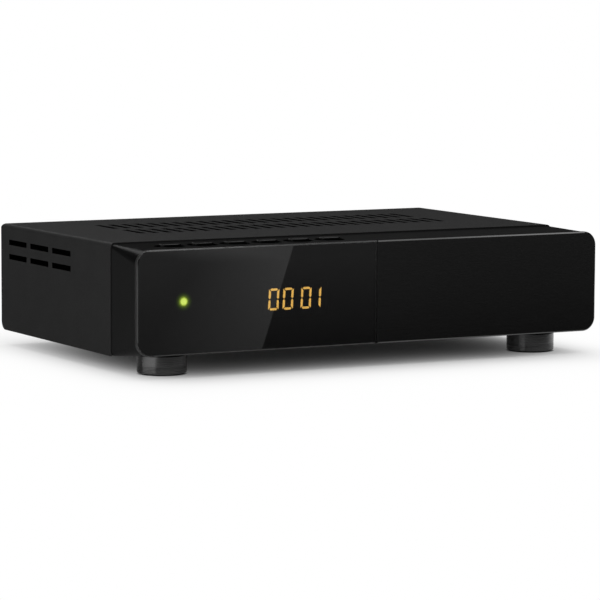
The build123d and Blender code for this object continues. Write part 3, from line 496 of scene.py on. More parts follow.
def drape(name, start, end, radius, height, material):
    """An upright curved sheet; angles run clockwise from straight behind, in degrees."""
    points = []
    for cosine, sine in arc(start, end, drape_steps):
        for z in (0.0, height):
            points.append((radius * sine, radius * cosine, z))
    faces = [(2 * i, 2 * i + 2, 2 * i + 3, 2 * i + 1) for i in range(drape_steps)]
    mesh = bpy.data.meshes.new(name)
    mesh.from_pydata(points, [], faces)
    sheet = bpy.data.objects.new(name, mesh)
    scene.collection.objects.link(sheet)
    glossy_only(sheet, material)


card("left_card", [
    leftwards(open_back, 2.0), open_corner,
    (open_corner.x, room_back, felt_lift), (-felt_reach, room_back, felt_lift),
], glow_material("side_card", 0.18))
dark = glow_material("dark_felt", 0.012)
behind_cover = rectangle(open_corner.x, felt_reach, cover_high.y + rear_gap, room_back, felt_lift)
card("rear_felt", behind_cover, dark)
drape("black_drape", -55, 236, drape_radius, room_height, dark)
drape("grey_drape", 27, 50, drape_radius - 0.1, height=0.9, material=glow_material("grey_cloth", 0.05))
over_all = rectangle(-drape_radius, drape_radius, -drape_radius, drape_radius, room_height)
card("grey_ceiling", over_all, glow_material("grey_ceiling", 0.25))
print("drapes hang", drape_radius, "m away")

# %% [markdown]
# ## Card over the front
#
# The plate's upper rim mirrors a card high over the front. The camera stands so near
# that the rim's length of 0.22 m sweeps over some 0.35 m of the card, so the card's
# brightness along X, a smooth curve through a few levels, draws the line's. A black flag
# under the rear left of the overhead lamp keeps the bezel's upper corner dark.

# %% Card over the front
rim_middle_seen = 0.398  # X on the card that the rim's middle mirrors
rim_sweep = 1.585  # metres of the card to one metre of the rim
rim_reach = 0.14  # half the length of rim that the card serves
rim_top_level = 3.0
rim_levels = {  # X on the rim: brightness
    -0.104: 2.3, -0.070: 1.95, -0.027: 1.0, 0.0: 1.3, 0.031: 1.0, 0.045: 1.25, 0.060: 1.9, 0.110: 2.1
}
card_left = rim_middle_seen - rim_reach * rim_sweep
card_right = rim_middle_seen + rim_reach * rim_sweep


def rim_level(tree):
    """Brightness of the card along X."""
    x, y, z = place_parts(tree)
    curve = put(tree, "ShaderNodeFloatCurve")
    points = curve.mapping.curves[0].points
    for i, (place, level) in enumerate(rim_levels.items()):
        spot = ((place + rim_reach) / (2 * rim_reach), level / rim_top_level)
        if i < len(points):
            points[i].location = spot
        else:
            points.new(*spot)
    curve.mapping.update()
    feed(tree, ramp_of(tree, x, card_left, card_right), curve.inputs["Value"])
    return ramp_of(tree, curve.outputs[0], 0, 1, 0, rim_top_level)


over_front = rectangle(card_left, card_right, front=-0.26, behind=-0.06, height=0.75)
card("rim_card", over_front, glow_material("rim_card", rim_level))
under_lamp = rectangle(left=-0.52, right=0.10, front=0.02, behind=0.62, height=0.82)
card("black_flag", under_lamp, dark)
print("card over the front:", round(card_right - card_left, 2), "m long")

# %% [markdown]
# ## Finishes
#
# A finish is more than a colour: powder coat has an orange-peel grain, moulded plastic
# a spark-eroded one, brushed metal fine lines along the stroke. Image textures would
# need unwrapping and would blur close up. Noise read at the object's own coordinates
# has no seams and is sharp at any distance, so every finish here is built from it.

# %% Building blocks for the finishes
noise_low, noise_high = 0.3, 0.7  # nearly all of a noise lies between these
colour_grains = 30  # colours change over this many grains
finishes = {}


def grain(tree, size, stretch=(1, 1, 1), detail=3.0, roughness=0.5):
    """Noise whose spots are about size metres across, squeezed along each axis."""
    scaled = put(tree, "ShaderNodeMapping", Scale=[s / size for s in stretch])
    noise = put(tree, "ShaderNodeTexNoise", Scale=1.0, Detail=detail, Roughness=roughness)
    feed(tree, put(tree, "ShaderNodeTexCoord").outputs["Object"], scaled.inputs["Vector"])
    feed(tree, scaled.outputs["Vector"], noise.inputs["Vector"])
    return noise.outputs["Fac"]


def colour_ramp(tree, source, stops):
    """Colour by a value; stops gives colours at places from 0 to 1."""
    ramp = put(tree, "ShaderNodeValToRGB")
    elements = ramp.color_ramp.elements
    while len(elements) < len(stops):
        elements.new(0.5)
    for element, (place, colour) in zip(elements, stops.items()):
        element.position = place
        element.color = (*colour, 1)
    feed(tree, source, ramp.inputs["Fac"])
    return ramp.outputs["Color"]


def spread_value(tree, source, low, high, entry):
    """Spread a noise over a range of values and feed it to an input."""
    feed(tree, ramp_of(tree, source, noise_low, noise_high, low, high), entry)


def spread_colour(tree, source, dark, light, surface):
    """Mix two colours by a noise as the base colour."""
    blend = colour_ramp(tree, source, {noise_low: dark, noise_high: light})
    feed(tree, blend, surface.inputs["Base Color"])


def relief(tree, source, depth, surface):
    """Bump of this depth in metres on a shader."""
    bump = put(tree, "ShaderNodeBump", Strength=1.0, Distance=depth)
    feed(tree, source, bump.inputs["Height"])
    feed(tree, bump.outputs["Normal"], surface.inputs["Normal"])


def grey(level, warm=0.0):
    """A neutral colour, a little warm or cool."""
    return (level * (1 + warm), level, level * (1 - warm))


# %% A finish from a row of numbers


def add_finishes(rows, **values):
    """Finishes with slow colour changes and a fine grain in roughness and relief.

    A row is slot: material, dark, light, roughness from, to, and grain size and depth in mm.
    """
    for slot_name, (name, dark, light, rough_low, rough_high, size, depth) in rows.items():
        finishes[slot_name], tree, surface = new_material(name, **values)
        size = size * mm
        spread_colour(tree, grain(tree, colour_grains * size), dark, light, surface)
        fine = grain(tree, size)
        spread_value(tree, fine, rough_low, rough_high, surface.inputs["Roughness"])
        relief(tree, fine, depth * mm, surface)
    print("finishes:", ", ".join(rows))


# %% [markdown]
# ## Metals
#
# Tin, nickel, zinc and anodised aluminium differ in warmth and in how smooth they are.
# One function makes them all from a row of numbers each. The black screws are oxide
# over steel, so they are only partly metallic.

# %% Metals
add_finishes({
    "tinned_steel": ("tinned_steel", grey(0.50, 0.02), grey(0.62, 0.02), 0.25, 0.42, 1.5, 0.004),
    "socket_metal": ("nickel_on_steel", grey(0.55, 0.04), grey(0.66, 0.03), 0.20, 0.34, 0.8, 0.003),
    "plated_thread": ("nickel_on_brass", grey(0.58, 0.06), grey(0.70, 0.04), 0.16, 0.30, 0.6, 0.003),
    "zinc_screw": ("zinc_plate", grey(0.48, 0.01), grey(0.62, -0.02), 0.26, 0.40, 0.5, 0.003),
    "sink_metal": ("clear_anodised", grey(0.55), grey(0.63), 0.30, 0.42, 1.0, 0.004),
}, Metallic=1.0)
add_finishes({
    "black_screw": ("black_oxide", grey(0.020), grey(0.035), 0.30, 0.46, 0.4, 0.004),
}, Metallic=0.6)
finishes["jack_metal"] = finishes["plated_thread"]

# %% [markdown]
# ## Powder coat on the steel cover and tray
#
# The cover's coat is fused powder: dead even in colour, with a fine orange peel that
# breaks up reflections. A plain rough shader would look like paper, so the grain sits
# in the relief and in the roughness at about a third of a millimetre. Below the outer
# skin, in the punched slots, shade is painted: the coat turns nearly black there. The
# cut front edges of the sides are painted paler as a highlight.

# %% Helpers that change a finish in places
# Nearly black, for shade painted in the slots and round the keys.
painted_shade_black = grey(0.0008)


def mixed(tree, share, first, second, colour=False):
    """The first number or colour where the share is 0, the second where it is 1."""
    mix = put(tree, "ShaderNodeMix", data_type="RGBA" if colour else "FLOAT")
    for entry, term in zip((0, 6, 7) if colour else (0, 2, 3), (share, first, second)):
        feed(tree, term, mix.inputs[entry])
    return mix.outputs[2 if colour else 0]


def tint_by(tree, share, surface, tint):
    """Where the share is 1, the base colour turns into the tint."""
    base = surface.inputs["Base Color"]
    feed(tree, mixed(tree, share, base.links[0].from_socket, (*tint, 1), colour=True), base)


def paint_shade_by(tree, share, surface):
    """Paints shade: where the share is 1, the surface is nearly black and has no shine."""
    tint_by(tree, share, surface, painted_shade_black)
    shine = surface.inputs["Specular IOR Level"]
    feed(tree, mixed(tree, share, shine.default_value, 0.0), shine)


def shader_of(slot_name):
    """Tree and Principled shader of a finish."""
    tree = finishes[slot_name].node_tree
    return tree, next(n for n in tree.nodes if n.type == "BSDF_PRINCIPLED")


# %% Powder coat
cover_bend = 2.0 * mm
# Shade is painted in the slots from just below the outer skin.
slot_shade_from, slot_shade_at = 0.02 * mm, 0.05 * mm  # below the outer skin
front_flange = 3 * mm  # no slot comes so near to the front edge
# A highlight is painted on the cut front edges of the sides:
painted_edge_highlight = grey(0.045)
highlight_from, highlight_to = 0.03 * mm, 0.09 * mm  # how far back from the front edge the cut is seen
inner_face = 0.9 * mm  # in from the side, a little more than the sheet's thickness


def sheet_depth(tree):
    """Distance of a point from the bent cover's outer skin, below zero inside it."""
    where = put(tree, "ShaderNodeTexCoord").outputs["Object"]
    folded = vector_maths(tree, "ABSOLUTE", vector_maths(tree, "SUBTRACT", where, (0, 0, cover_low.z)))
    bends = (cover_high.x - cover_bend, 1, cover_high.z - cover_low.z - cover_bend)
    beyond = vector_maths(tree, "MAXIMUM", vector_maths(tree, "SUBTRACT", folded, bends), (0, 0, 0))
    return maths(tree, "SUBTRACT", vector_maths(tree, "LENGTH", beyond), cover_bend)


add_finishes({
    "cover_paint": ("cover_powder_coat", grey(0.0170), grey(0.0195), 0.46, 0.60, 0.35, 0.012),
    "tray_paint": ("tray_powder_coat", grey(0.011), grey(0.013), 0.48, 0.62, 0.35, 0.012),
}, Specular_IOR_Level=0.14)
tree, surface = shader_of("cover_paint")
x, y, z = place_parts(tree)
# Painted shade: the slot walls below the outer skin turn nearly black.
painted_slot_shade = ramp_of(tree, sheet_depth(tree), -slot_shade_at, -slot_shade_from, 1.0, 0.0)
behind_edge = ramp_of(tree, y, cover_low.y + front_flange, cover_low.y + front_flange + 1 * mm)
paint_shade_by(tree, maths(tree, "MULTIPLY", painted_slot_shade, behind_edge), surface)
# Painted highlight: the sides' cut front edges are tinted paler.
aside = maths(tree, "ABSOLUTE", x)
highlight_side = ramp_of(tree, aside, cover_high.x - inner_face, cover_high.x - inner_face + 0.3 * mm)
highlight_front = ramp_of(tree, y, cover_low.y + highlight_from, cover_low.y + highlight_to, 1.0, 0.0)
tint_by(tree, maths(tree, "MULTIPLY", highlight_side, highlight_front), surface, painted_edge_highlight)

# %% [markdown]
# ## Bezel and keys
#
# The bezel is moulded against a spark-eroded steel wall, so its skin has tiny even
# pits. Round the keys shade is painted: an oval over each scoop and a little past it is
# nearly black. The keys come from a polished cavity and shine a little more.

# %% Bezel and keys
key_count = 6
key_low, _, key_middle = box_of("key_1")
key_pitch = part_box("key_2")[0].x - key_low.x
shade_oval_length = 13.2 * mm
shade_oval_width = 11.6 * mm
shade_oval_soft = 0.1 * mm


def in_painted_key_shade(tree):
    """Painted shade: 1 inside an oval round each of the six keys, 0 outside."""
    x, y, z = place_parts(tree)
    nearest = maths(tree, "PINGPONG", maths(tree, "SUBTRACT", x, key_middle.x), key_pitch / 2)
    past_straight = maths(tree, "SUBTRACT", nearest, (shade_oval_length - shade_oval_width) / 2)
    radius = level_distance(tree, maths(tree, "MAXIMUM", past_straight, 0.0), y, 0.0, key_middle.y)
    inside = ramp_of(tree, radius, shade_oval_width / 2 - shade_oval_soft, shade_oval_width / 2, 1.0, 0.0)
    row_middle = key_middle.x + (key_count - 1) / 2 * key_pitch
    aside = maths(tree, "ABSOLUTE", maths(tree, "SUBTRACT", x, row_middle))
    row_end = key_count / 2 * key_pitch
    row = ramp_of(tree, aside, 0.99 * row_end, row_end, 1.0, 0.0)
    upper = ramp_of(tree, z, key_low.z - 1 * mm, key_low.z)
    return maths(tree, "MULTIPLY", upper, maths(tree, "MULTIPLY", inside, row))


add_finishes({
    "bezel_plastic": ("bezel_moulding", grey(0.0040), grey(0.0048), 0.30, 0.38, 0.22, 0.008),
}, Specular_IOR_Level=0.05)
tree, surface = shader_of("bezel_plastic")
# Painted shade round the keys.
paint_shade_by(tree, in_painted_key_shade(tree), surface)
add_finishes({
    "key_plastic": ("key_moulding", grey(0.003), grey(0.004), 0.16, 0.24, 0.30, 0.003),
}, Specular_IOR_Level=0.3)

# %% [markdown]
# ## Plastics inside and behind
#
# The black housings differ only in how black and how smooth they are, so a row of four
# numbers says it. Nylon, vinyl, shrink sleeve, resin and rubber have colours of their
# own.

# %% Other plastics
black_plastics = {  # slot: grey from, to, roughness from, to
    "plunger_plastic": (0.020, 0.028, 0.40, 0.50),
    "switch_plastic": (0.030, 0.042, 0.35, 0.50),
    "display_plastic": (0.006, 0.008, 0.12, 0.20),
    "chip_plastic": (0.016, 0.022, 0.50, 0.62),
    "socket_plastic": (0.014, 0.020, 0.38, 0.50),
    "jack_plastic": (0.014, 0.020, 0.38, 0.50),
    "coil_core": (0.06, 0.09, 0.50, 0.65),
}
add_finishes({
    slot_name: (slot_name + "_skin", grey(dark_level), grey(light_level), rough_low, rough_high, 0.3, 0.006)
    for slot_name, (dark_level, light_level, rough_low, rough_high) in black_plastics.items()
})
sleeve_dark, sleeve_light = (0.010, 0.012, 0.040), (0.016, 0.018, 0.060)
resin_dark, resin_light = (0.010, 0.006, 0.010), (0.018, 0.010, 0.016)
add_finishes({
    "header_plastic": ("nylon_header", (0.62, 0.57, 0.46), (0.74, 0.70, 0.58), 0.40, 0.52, 0.3, 0.006),
    "ribbon_vinyl": ("ribbon_jacket", (0.46, 0.46, 0.45), (0.58, 0.58, 0.56), 0.40, 0.50, 0.4, 0.006),
    "capacitor_sleeve": ("capacitor_sleeve", sleeve_dark, sleeve_light, 0.25, 0.36, 0.4, 0.004),
    "eye_plastic": ("infrared_resin", resin_dark, resin_light, 0.08, 0.16, 0.6, 0.002),
    "pad_rubber": ("pad_rubber", grey(0.010), grey(0.016), 0.65, 0.80, 0.25, 0.015),
})

# %% [markdown]
# ## Circuit boards
#
# A board is glass laminate under green lacquer, with copper tracks that show as
# slightly raised, lighter lines. They could be drawn one by one, but a fine brick
# pattern reads as tracks and pads well enough through the vents.

# %% Board finish
board, tree, surface = new_material("board_lacquer", Roughness=0.28)
tracks = put(
    tree, "ShaderNodeTexBrick", offset=0.37, Scale=260.0, Mortar_Size=0.04,
    Color1=(0.012, 0.085, 0.035, 1), Color2=(0.016, 0.110, 0.045, 1), Mortar=(0.040, 0.190, 0.080, 1),
)
feed(tree, put(tree, "ShaderNodeTexCoord").outputs["Object"], tracks.inputs["Vector"])
feed(tree, tracks.outputs["Color"], surface.inputs["Base Color"])
relief(tree, tracks.outputs["Fac"], 0.03 * mm, surface)
finishes["circuit_board"] = board
print("board:", board.name)

# %% [markdown]
# ## Front plate
#
# The left half is clear smoked acrylic, polished and flat, through which the display
# shows. It is modelled as what it is: a slab that lets light through and swallows most
# of it. The right half is dark metal, brushed from side to side: long fine scratches,
# so its noise is stretched more than a hundredfold along X, and its highlight is drawn
# out across them by anisotropy. The chamfer round both is polished, and the sawn wall
# behind it is dull. Both are told from the face by how far they turn away from the front.

# %% Plate finishes
rim_shine, rim_rough = 0.9, 0.10
wall_shine, wall_rough = 0.05, 0.60
# how squarely a normal faces the front: 1 on the face, 0.7 on the chamfer, 0 on the wall
chamfer_from, chamfer_at = 0.995, 0.96
wall_from, wall_at = 0.35, 0.20


def finish_rim(tree, surface):
    """Polish the chamfer of the rim, and dull the sawn wall behind it."""
    normal = put(tree, "ShaderNodeNewGeometry").outputs["True Normal"]
    facing = maths(tree, "ABSOLUTE", parts_of(tree, normal)[1])
    chamfer = ramp_of(tree, facing, chamfer_from, chamfer_at)
    wall = ramp_of(tree, facing, wall_from, wall_at)
    shine = surface.inputs["Specular IOR Level"]
    polished = mixed(tree, chamfer, shine.default_value, rim_shine)
    feed(tree, mixed(tree, wall, polished, wall_shine), shine)
    rough = surface.inputs["Roughness"]
    smooth = mixed(tree, chamfer, rough.links[0].from_socket, rim_rough)
    feed(tree, mixed(tree, wall, smooth, wall_rough), rough)


smoked, tree, surface = new_material(
    "smoked_acrylic", IOR=1.49, Transmission_Weight=1.0, Specular_IOR_Level=0.5
)
spread_colour(tree, grain(tree, 12 * mm), grey(0.038), grey(0.042), surface)
spread_value(tree, grain(tree, 2.5 * mm), 0.000, 0.018, surface.inputs["Roughness"])
finish_rim(tree, surface)
finishes["smoked_window"] = smoked

brushed, tree, surface = new_material("brushed_plate", Anisotropic=0.7, Specular_IOR_Level=0.42)
strokes = grain(tree, 0.12 * mm, stretch=(0.006, 1, 1), detail=4.0, roughness=0.65)
spread_colour(tree, strokes, grey(0.0026), grey(0.0054), surface)
spread_value(tree, strokes, 0.24, 0.40, surface.inputs["Roughness"])
relief(tree, strokes, 0.006 * mm, surface)
stroke_way = put(tree, "ShaderNodeTangent", direction_type="RADIAL", axis="Z")
feed(tree, stroke_way.outputs[0], surface.inputs["Tangent"])
finish_rim(tree, surface)
finishes["brushed_front"] = brushed
print("plate:", smoked.name, "and", brushed.name)

# %% [markdown]
# ## Lights of the front
#
# The display's bars are lit amber and the status lamp yellow-green. The smoked slab
# passes only a twenty-fifth of their light, so they are that much brighter than they
# look. The lamp fades from its middle to its rim, and a faint ring of its light is
# painted as a glow on the moulding around it: one colour ramp over the distance from the
# lamp's axis serves both.

# %% Lit finishes
lamp_centre = box_of("status_lens")[2]
slab_share = 0.04  # of the light that passes the smoked slab
painted_halo_reach = 4.0 * mm
segment_level = 0.70
amber, lamp_green = (1.0, 0.59, 0.13), (0.75, 0.95, 0.25)
lens_and_painted_halo_colours = {  # mm from the lamp's axis: colour
    0.00: (0.72, 0.88, 0.16), 1.15: (0.60, 0.78, 0.12), 1.50: (0.36, 0.48, 0.05),
    1.90: (0.085, 0.130, 0.006), 2.50: (0.026, 0.044, 0.001), 3.20: (0.007, 0.013, 0.0),
    4.00: (0.0, 0.0, 0.0),
}


def lens_glow_and_painted_halo(tree):
    """Colour of the lens's glow, and of the glow painted round it on the bezel, by the distance from the
    lamp's axis.
    """
    where = put(tree, "ShaderNodeTexCoord").outputs["Object"]
    flat = vector_maths(tree, "MULTIPLY", vector_maths(tree, "SUBTRACT", where, lamp_centre), (1, 0, 1))
    share = ramp_of(tree, vector_maths(tree, "LENGTH", flat), 0, painted_halo_reach)
    stops = {radius * mm / painted_halo_reach: colour for radius, colour in lens_and_painted_halo_colours.items()}
    return colour_ramp(tree, share, stops)


def lit_finish(name, core, strength, size):
    """A lit surface whose glow is a little uneven."""
    lit, tree, surface = new_material(
        name, Roughness=0.35, Base_Color=(*core, 1), Emission_Color=(*core, 1)
    )
    entry = surface.inputs["Emission Strength"]
    spread_value(tree, grain(tree, size), 0.88 * strength, 1.12 * strength, entry)
    return lit


finishes["segment_light"] = lit_finish("amber_bars", amber, segment_level / slab_share, 1.5 * mm)
finishes["lamp_body"] = lit_finish("lamp_chip", lamp_green, 6.0, 0.8 * mm)
lens, tree, surface = new_material("status_lens", Roughness=0.35, Base_Color=(0.10, 0.13, 0.02, 1))
feed(tree, lens_glow_and_painted_halo(tree), surface.inputs["Emission Color"])
lens_strength = surface.inputs["Emission Strength"]
spread_value(tree, grain(tree, 1.0 * mm), 0.92 / slab_share, 1.08 / slab_share, lens_strength)
finishes["lamp_lens"] = lens
# The bezel gets a painted glow: the lamp's halo on the moulding round it.
tree, surface = shader_of("bezel_plastic")
feed(tree, lens_glow_and_painted_halo(tree), surface.inputs["Emission Color"])
surface.inputs["Emission Strength"].default_value = 1.0 / slab_share
print("lit parts are", round(1 / slab_share), "times as bright as they look")

# %% [markdown]
# ## Turned feet
#
# The feet are turned and dark plated. Turning leaves fine rings, which draw the
# highlight out into upright bands, so the anisotropy follows the rings. A band round the
# top of each foot, under the bezel, is painted black as the bezel's shadow.

# %% Foot finish
turned_metal, tree, surface = new_material(
    "turned_foot", Metallic=1.0, Anisotropic=1.0, Anisotropic_Rotation=0.25
)
rings = grain(tree, 0.16 * mm, stretch=(0.004, 0.004, 1), detail=3.0)
spread_colour(tree, rings, grey(0.15), grey(0.18), surface)
spread_value(tree, rings, 0.25, 0.31, surface.inputs["Roughness"])
relief(tree, rings, 0.002 * mm, surface)
ring_way = put(tree, "ShaderNodeTangent", direction_type="RADIAL", axis="Z")
feed(tree, ring_way.outputs[0], surface.inputs["Tangent"])
x, y, z = place_parts(tree)
# A black band is painted round the top of each foot as the bezel's shadow.
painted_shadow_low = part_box("foot_front_left")[1].z - 1.4 * mm
tint_by(tree, ramp_of(tree, z, painted_shadow_low, painted_shadow_low + 0.15 * mm), surface, grey(0.006))
finishes["foot_metal"] = turned_metal
print("the feet's necks are black from", round(painted_shadow_low / mm, 1), "mm up")

# %% [markdown]
# ## Dressing the frame
#
# The part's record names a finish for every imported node. Each node could be given its
# material by hand, but a loop over the record can't forget one.

# %% Dress every node of the frame
slot_of = {part["node"]: part["material_slot"] for part in record["subparts"]}
for node_name, slot_name in slot_of.items():
    for material_slot in frame["nodes"][node_name].material_slots:
        material_slot.material = finishes[slot_name]
print("finishes:", len(finishes), "on", len(slot_of), "nodes")

# %% [markdown]
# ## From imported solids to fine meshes
#
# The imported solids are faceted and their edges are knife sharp, which no real edge is:
# sheet steel is tumbled, a mould has a tool radius, turned metal is deburred. What the
# eye sees of such a round is a thin line of light along every edge. The pieces that
# show get a mesh of their own here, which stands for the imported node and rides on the
# same body, so that the motion stays as it is.

# %% Helpers for fine meshes
crease = math.radians(32)
still_flat = math.radians(0.5)
same_point = 0.0005 * mm


def take_place(mesh, name, node_name, slot_name=None):
    """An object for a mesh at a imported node, with its finish and its body."""
    slot_name = slot_name or slot_of[node_name]
    mesh.name = name
    for face in mesh.polygons:
        face.use_smooth = True
    mesh.set_sharp_from_angle(angle=crease)
    mesh.materials.clear()
    mesh.materials.append(finishes[slot_name])
    piece = bpy.data.objects.new(name, mesh)
    scene.collection.objects.link(piece)
    evened = piece.modifiers.new("even_normals", "WEIGHTED_NORMAL")
    evened.keep_sharp = True
    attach(piece, frame["nodes"][node_name]["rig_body"])
    return piece


def stand_in(mesh, node_name):
    """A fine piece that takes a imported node's place."""
    piece = take_place(mesh, node_name + "_fine", node_name)
    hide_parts(node_name)
    return piece


def mesh_from(shape):
    """Turn a bmesh into a mesh, with its faces looking outwards."""
    bmesh.ops.recalc_face_normals(shape, faces=shape.faces)
    mesh = bpy.data.meshes.new("fine")
    shape.to_mesh(mesh)
    shape.free()
    return mesh


# %% [markdown]
# ## Sheet metal, mouldings and sockets with eased edges
#
# These pieces already have their true shape. They could be modelled again from
# nothing, but a bevel that finds their sharp outer edges by angle keeps every slot and
# tab where it is. First the flat triangles are joined, or the bevel would follow them.
# The punch rolls the rims of the cover's top slots in, so those get a wider round.

# %% Eased edges
eased = {
    "top_cover": 0.06 * mm,
    "front_bezel": 0.08 * mm,
    "base_tray": 0.12 * mm,
    "euro_av_socket": 0.10 * mm,
    "video_socket": 0.10 * mm,
    "data_socket": 0.10 * mm,
    "audio_jack_body": 0.15 * mm,
    "audio_jack_barrel": 0.10 * mm,
    "power_jack": 0.15 * mm,
    "antenna_nut": 0.15 * mm,
}
slot_roll = 0.30 * mm
slot_margin = 6 * mm  # no slot of the top comes nearer to the cover's edges


def on_top_slots(point):
    """True for the upper rims of the slots in the cover's top."""
    across = abs(point.x) < cover_high.x - slot_margin
    along = cover_low.y + slot_margin < point.y < cover_high.y - slot_margin
    return across and along and point.z > cover_high.z - 0.02 * mm


def soften(node_name, edge, wide_edge=0, wide_test=None):
    """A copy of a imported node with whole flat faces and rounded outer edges.

    Edges that pass the test, if there is one, are rounded by the wide edge instead.
    """
    shape = bmesh.new()
    shape.from_mesh(frame["nodes"][node_name].data)
    bmesh.ops.remove_doubles(shape, verts=shape.verts, dist=same_point)
    bmesh.ops.dissolve_limit(shape, angle_limit=still_flat, verts=shape.verts, edges=shape.edges)
    rims = [e for e in shape.edges if e.is_convex and e.calc_face_angle() > crease]
    wide = [e for e in rims if wide_test and all(wide_test(v.co) for v in e.verts)]
    for width, group in ((wide_edge, wide), (edge, [e for e in rims if e not in wide])):
        if group:
            bmesh.ops.bevel(
                shape, geom=[e for e in group if e.is_valid], offset=width, segments=2, profile=0.5,
                affect="EDGES", offset_type="OFFSET", clamp_overlap=False,
            )
    return stand_in(mesh_from(shape), node_name)


for node_name, edge in eased.items():
    if node_name == "top_cover":
        piece = soften(node_name, edge, slot_roll, on_top_slots)
    else:
        piece = soften(node_name, edge)
    print(piece.name, "faces:", len(piece.data.polygons))

# %% [markdown]
# ## Front plate halves
#
# Both halves of the plate are cut from 2 mm sheet with a polished chamfer along the outer
# edge, which draws the thin line of light round the front. An extruded curve could be
# beveled, but rings of points, each the outline moved in a little, give the chamfer the
# same width in the corners, and leave the two faces perfectly flat. Where the halves
# meet, the chamfer narrows to a fine seam.

# %% Front plate halves
plate_corner = 6.0 * mm
plate_thick = 1.98 * mm
rim_chamfer = 0.55 * mm
rim_ease = 0.05 * mm
seam_ease = 0.06 * mm
seam_end = 0.7 * mm  # along this much of the rim its chamfer fades into the seam's
corner_steps = 18


def skin(shape, rings):
    """Faces between rings of as many points each, and over the first and the last."""
    rows = [[shape.verts.new(point) for point in ring] for ring in rings]
    for row, after in zip(rows, rows[1:]):
        for i in range(len(row)):
            j = (i + 1) % len(row)
            shape.faces.new((row[i], row[j], after[j], after[i]))
    shape.faces.new(rows[0])
    shape.faces.new(rows[-1])


def half_outline(low, high, side, depth, inset, seam_depth, seam_inset):
    """Outline of one half of the plate, from the top of the seam round to its bottom."""
    outer, seam = (low.x, high.x) if side < 0 else (high.x, low.x)
    middle_z = (low.z + high.z) / 2
    half_height = (high.z - low.z) / 2
    radius = plate_corner - inset
    y = plate_face + depth
    at_seam = (seam + side * seam_inset, plate_face + seam_depth)
    near_seam = (seam + side * seam_end, y)
    ring = [(*at_seam, middle_z + half_height - inset), (*near_seam, middle_z + half_height - inset)]
    for upper, first in ((1, 90), (-1, 0)):
        centre_z = middle_z + upper * (half_height - plate_corner)
        for cosine, sine in arc(first, first - 90, corner_steps):
            ring.append((outer - side * plate_corner + side * radius * cosine, y, centre_z + radius * sine))
    ring += [(*near_seam, middle_z - half_height + inset), (*at_seam, middle_z - half_height + inset)]
    return ring


seam_scale = seam_ease / rim_chamfer
for node_name, side in (("display_window", -1), ("brushed_panel", 1)):
    low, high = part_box(node_name)
    rings = [half_outline(low, high, side, plate_thick, 0, plate_thick, 0)]
    for depth, inset in (
        (rim_chamfer + rim_ease, 0), (rim_chamfer - rim_ease / 2, rim_ease / 2),
        (rim_ease / 2, rim_chamfer - rim_ease / 2), (0, rim_chamfer + rim_ease),
    ):
        rings.append(half_outline(low, high, side, depth, inset, seam_scale * depth, seam_scale * inset))
    shape = bmesh.new()
    skin(shape, rings)
    half = stand_in(mesh_from(shape), node_name)
    print(half.name, "points:", len(half.data.vertices))

# %% [markdown]
# ## Keys
#
# A key is one moulding: a low oval cap with a soft edge and a slightly crowned top, a
# flange that stops it under the bezel, and a cross-shaped stem that presses the switch.
# Cap and flange are again rings, ovals moved in and out at their heights.

# %% Keys
key_round = 0.40 * mm
key_crown = 0.10 * mm
cap_length = 9.6 * mm
cap_width = 5.6 * mm
flange_rim = 1.2 * mm
flange_thick = 1.2 * mm
stem_length = 2.7 * mm
stem_web = 1.2 * mm
stem_span = 3.6 * mm
oval_steps = 14
round_steps = 4
crown_shares = (0.3, 0.6, 0.85)  # rings on the crown, as shares of the way to its middle


def oval(centre, z, offset):
    """Points round an oval with straight sides along X, moved out by an offset."""
    radius = cap_width / 2 + offset
    straight = (cap_length - cap_width) / 2
    ring = []
    for side, first in ((1, -90), (-1, 90)):
        for cosine, sine in arc(first, first + 180, oval_steps):
            ring.append((centre.x + side * straight + radius * cosine, centre.y + radius * sine, z))
    return ring


def cross(span, web, spun=0):
    """The twelve corners of a flat cross, spun by an angle in degrees."""
    corners = []
    for quarter in range(4):
        spin = Matrix.Rotation(math.radians(90 * quarter + spun), 2)
        corners += [spin @ Vector(corner) for corner in ((span, -web), (span, web), (web, web))]
    return corners


for number in range(1, key_count + 1):
    node_name = f"key_{number}"
    low, high, centre = box_of(node_name)
    flange_low = low.z + stem_length
    flange_top = flange_low + flange_thick
    edge_top = high.z - key_crown
    rings = [
        oval(centre, flange_low, flange_rim), oval(centre, flange_top, flange_rim),
        oval(centre, flange_top, 0), oval(centre, edge_top - key_round, 0),
    ]
    for cosine, sine in arc(0, 90, round_steps)[1:]:
        rings.append(oval(centre, edge_top - key_round * (1 - sine), -key_round * (1 - cosine)))
    for share in crown_shares:
        rings.append(oval(centre, edge_top + key_crown * (1 - (1 - share) ** 2), -share * cap_width / 2))
    shape = bmesh.new()
    skin(shape, rings)
    skin(shape, [
        [(centre.x + corner.x, centre.y + corner.y, z) for corner in cross(stem_span / 2, stem_web / 2)]
        for z in (low.z, flange_low)
    ])
    stand_in(mesh_from(shape), node_name)
print("keys:", key_count, "crown", key_crown / mm, "mm, edge round", key_round / mm, "mm")

# %% [markdown]
# ## Feet and pads
#
# Each foot is turned from bar: straight sides, a small break at the lower edge, and a
# few fine grooves above it. A turned piece is an outline swung round its axis, which
# the Screw modifier would do too, but in code the grooves stay named sizes.

# %% Turning


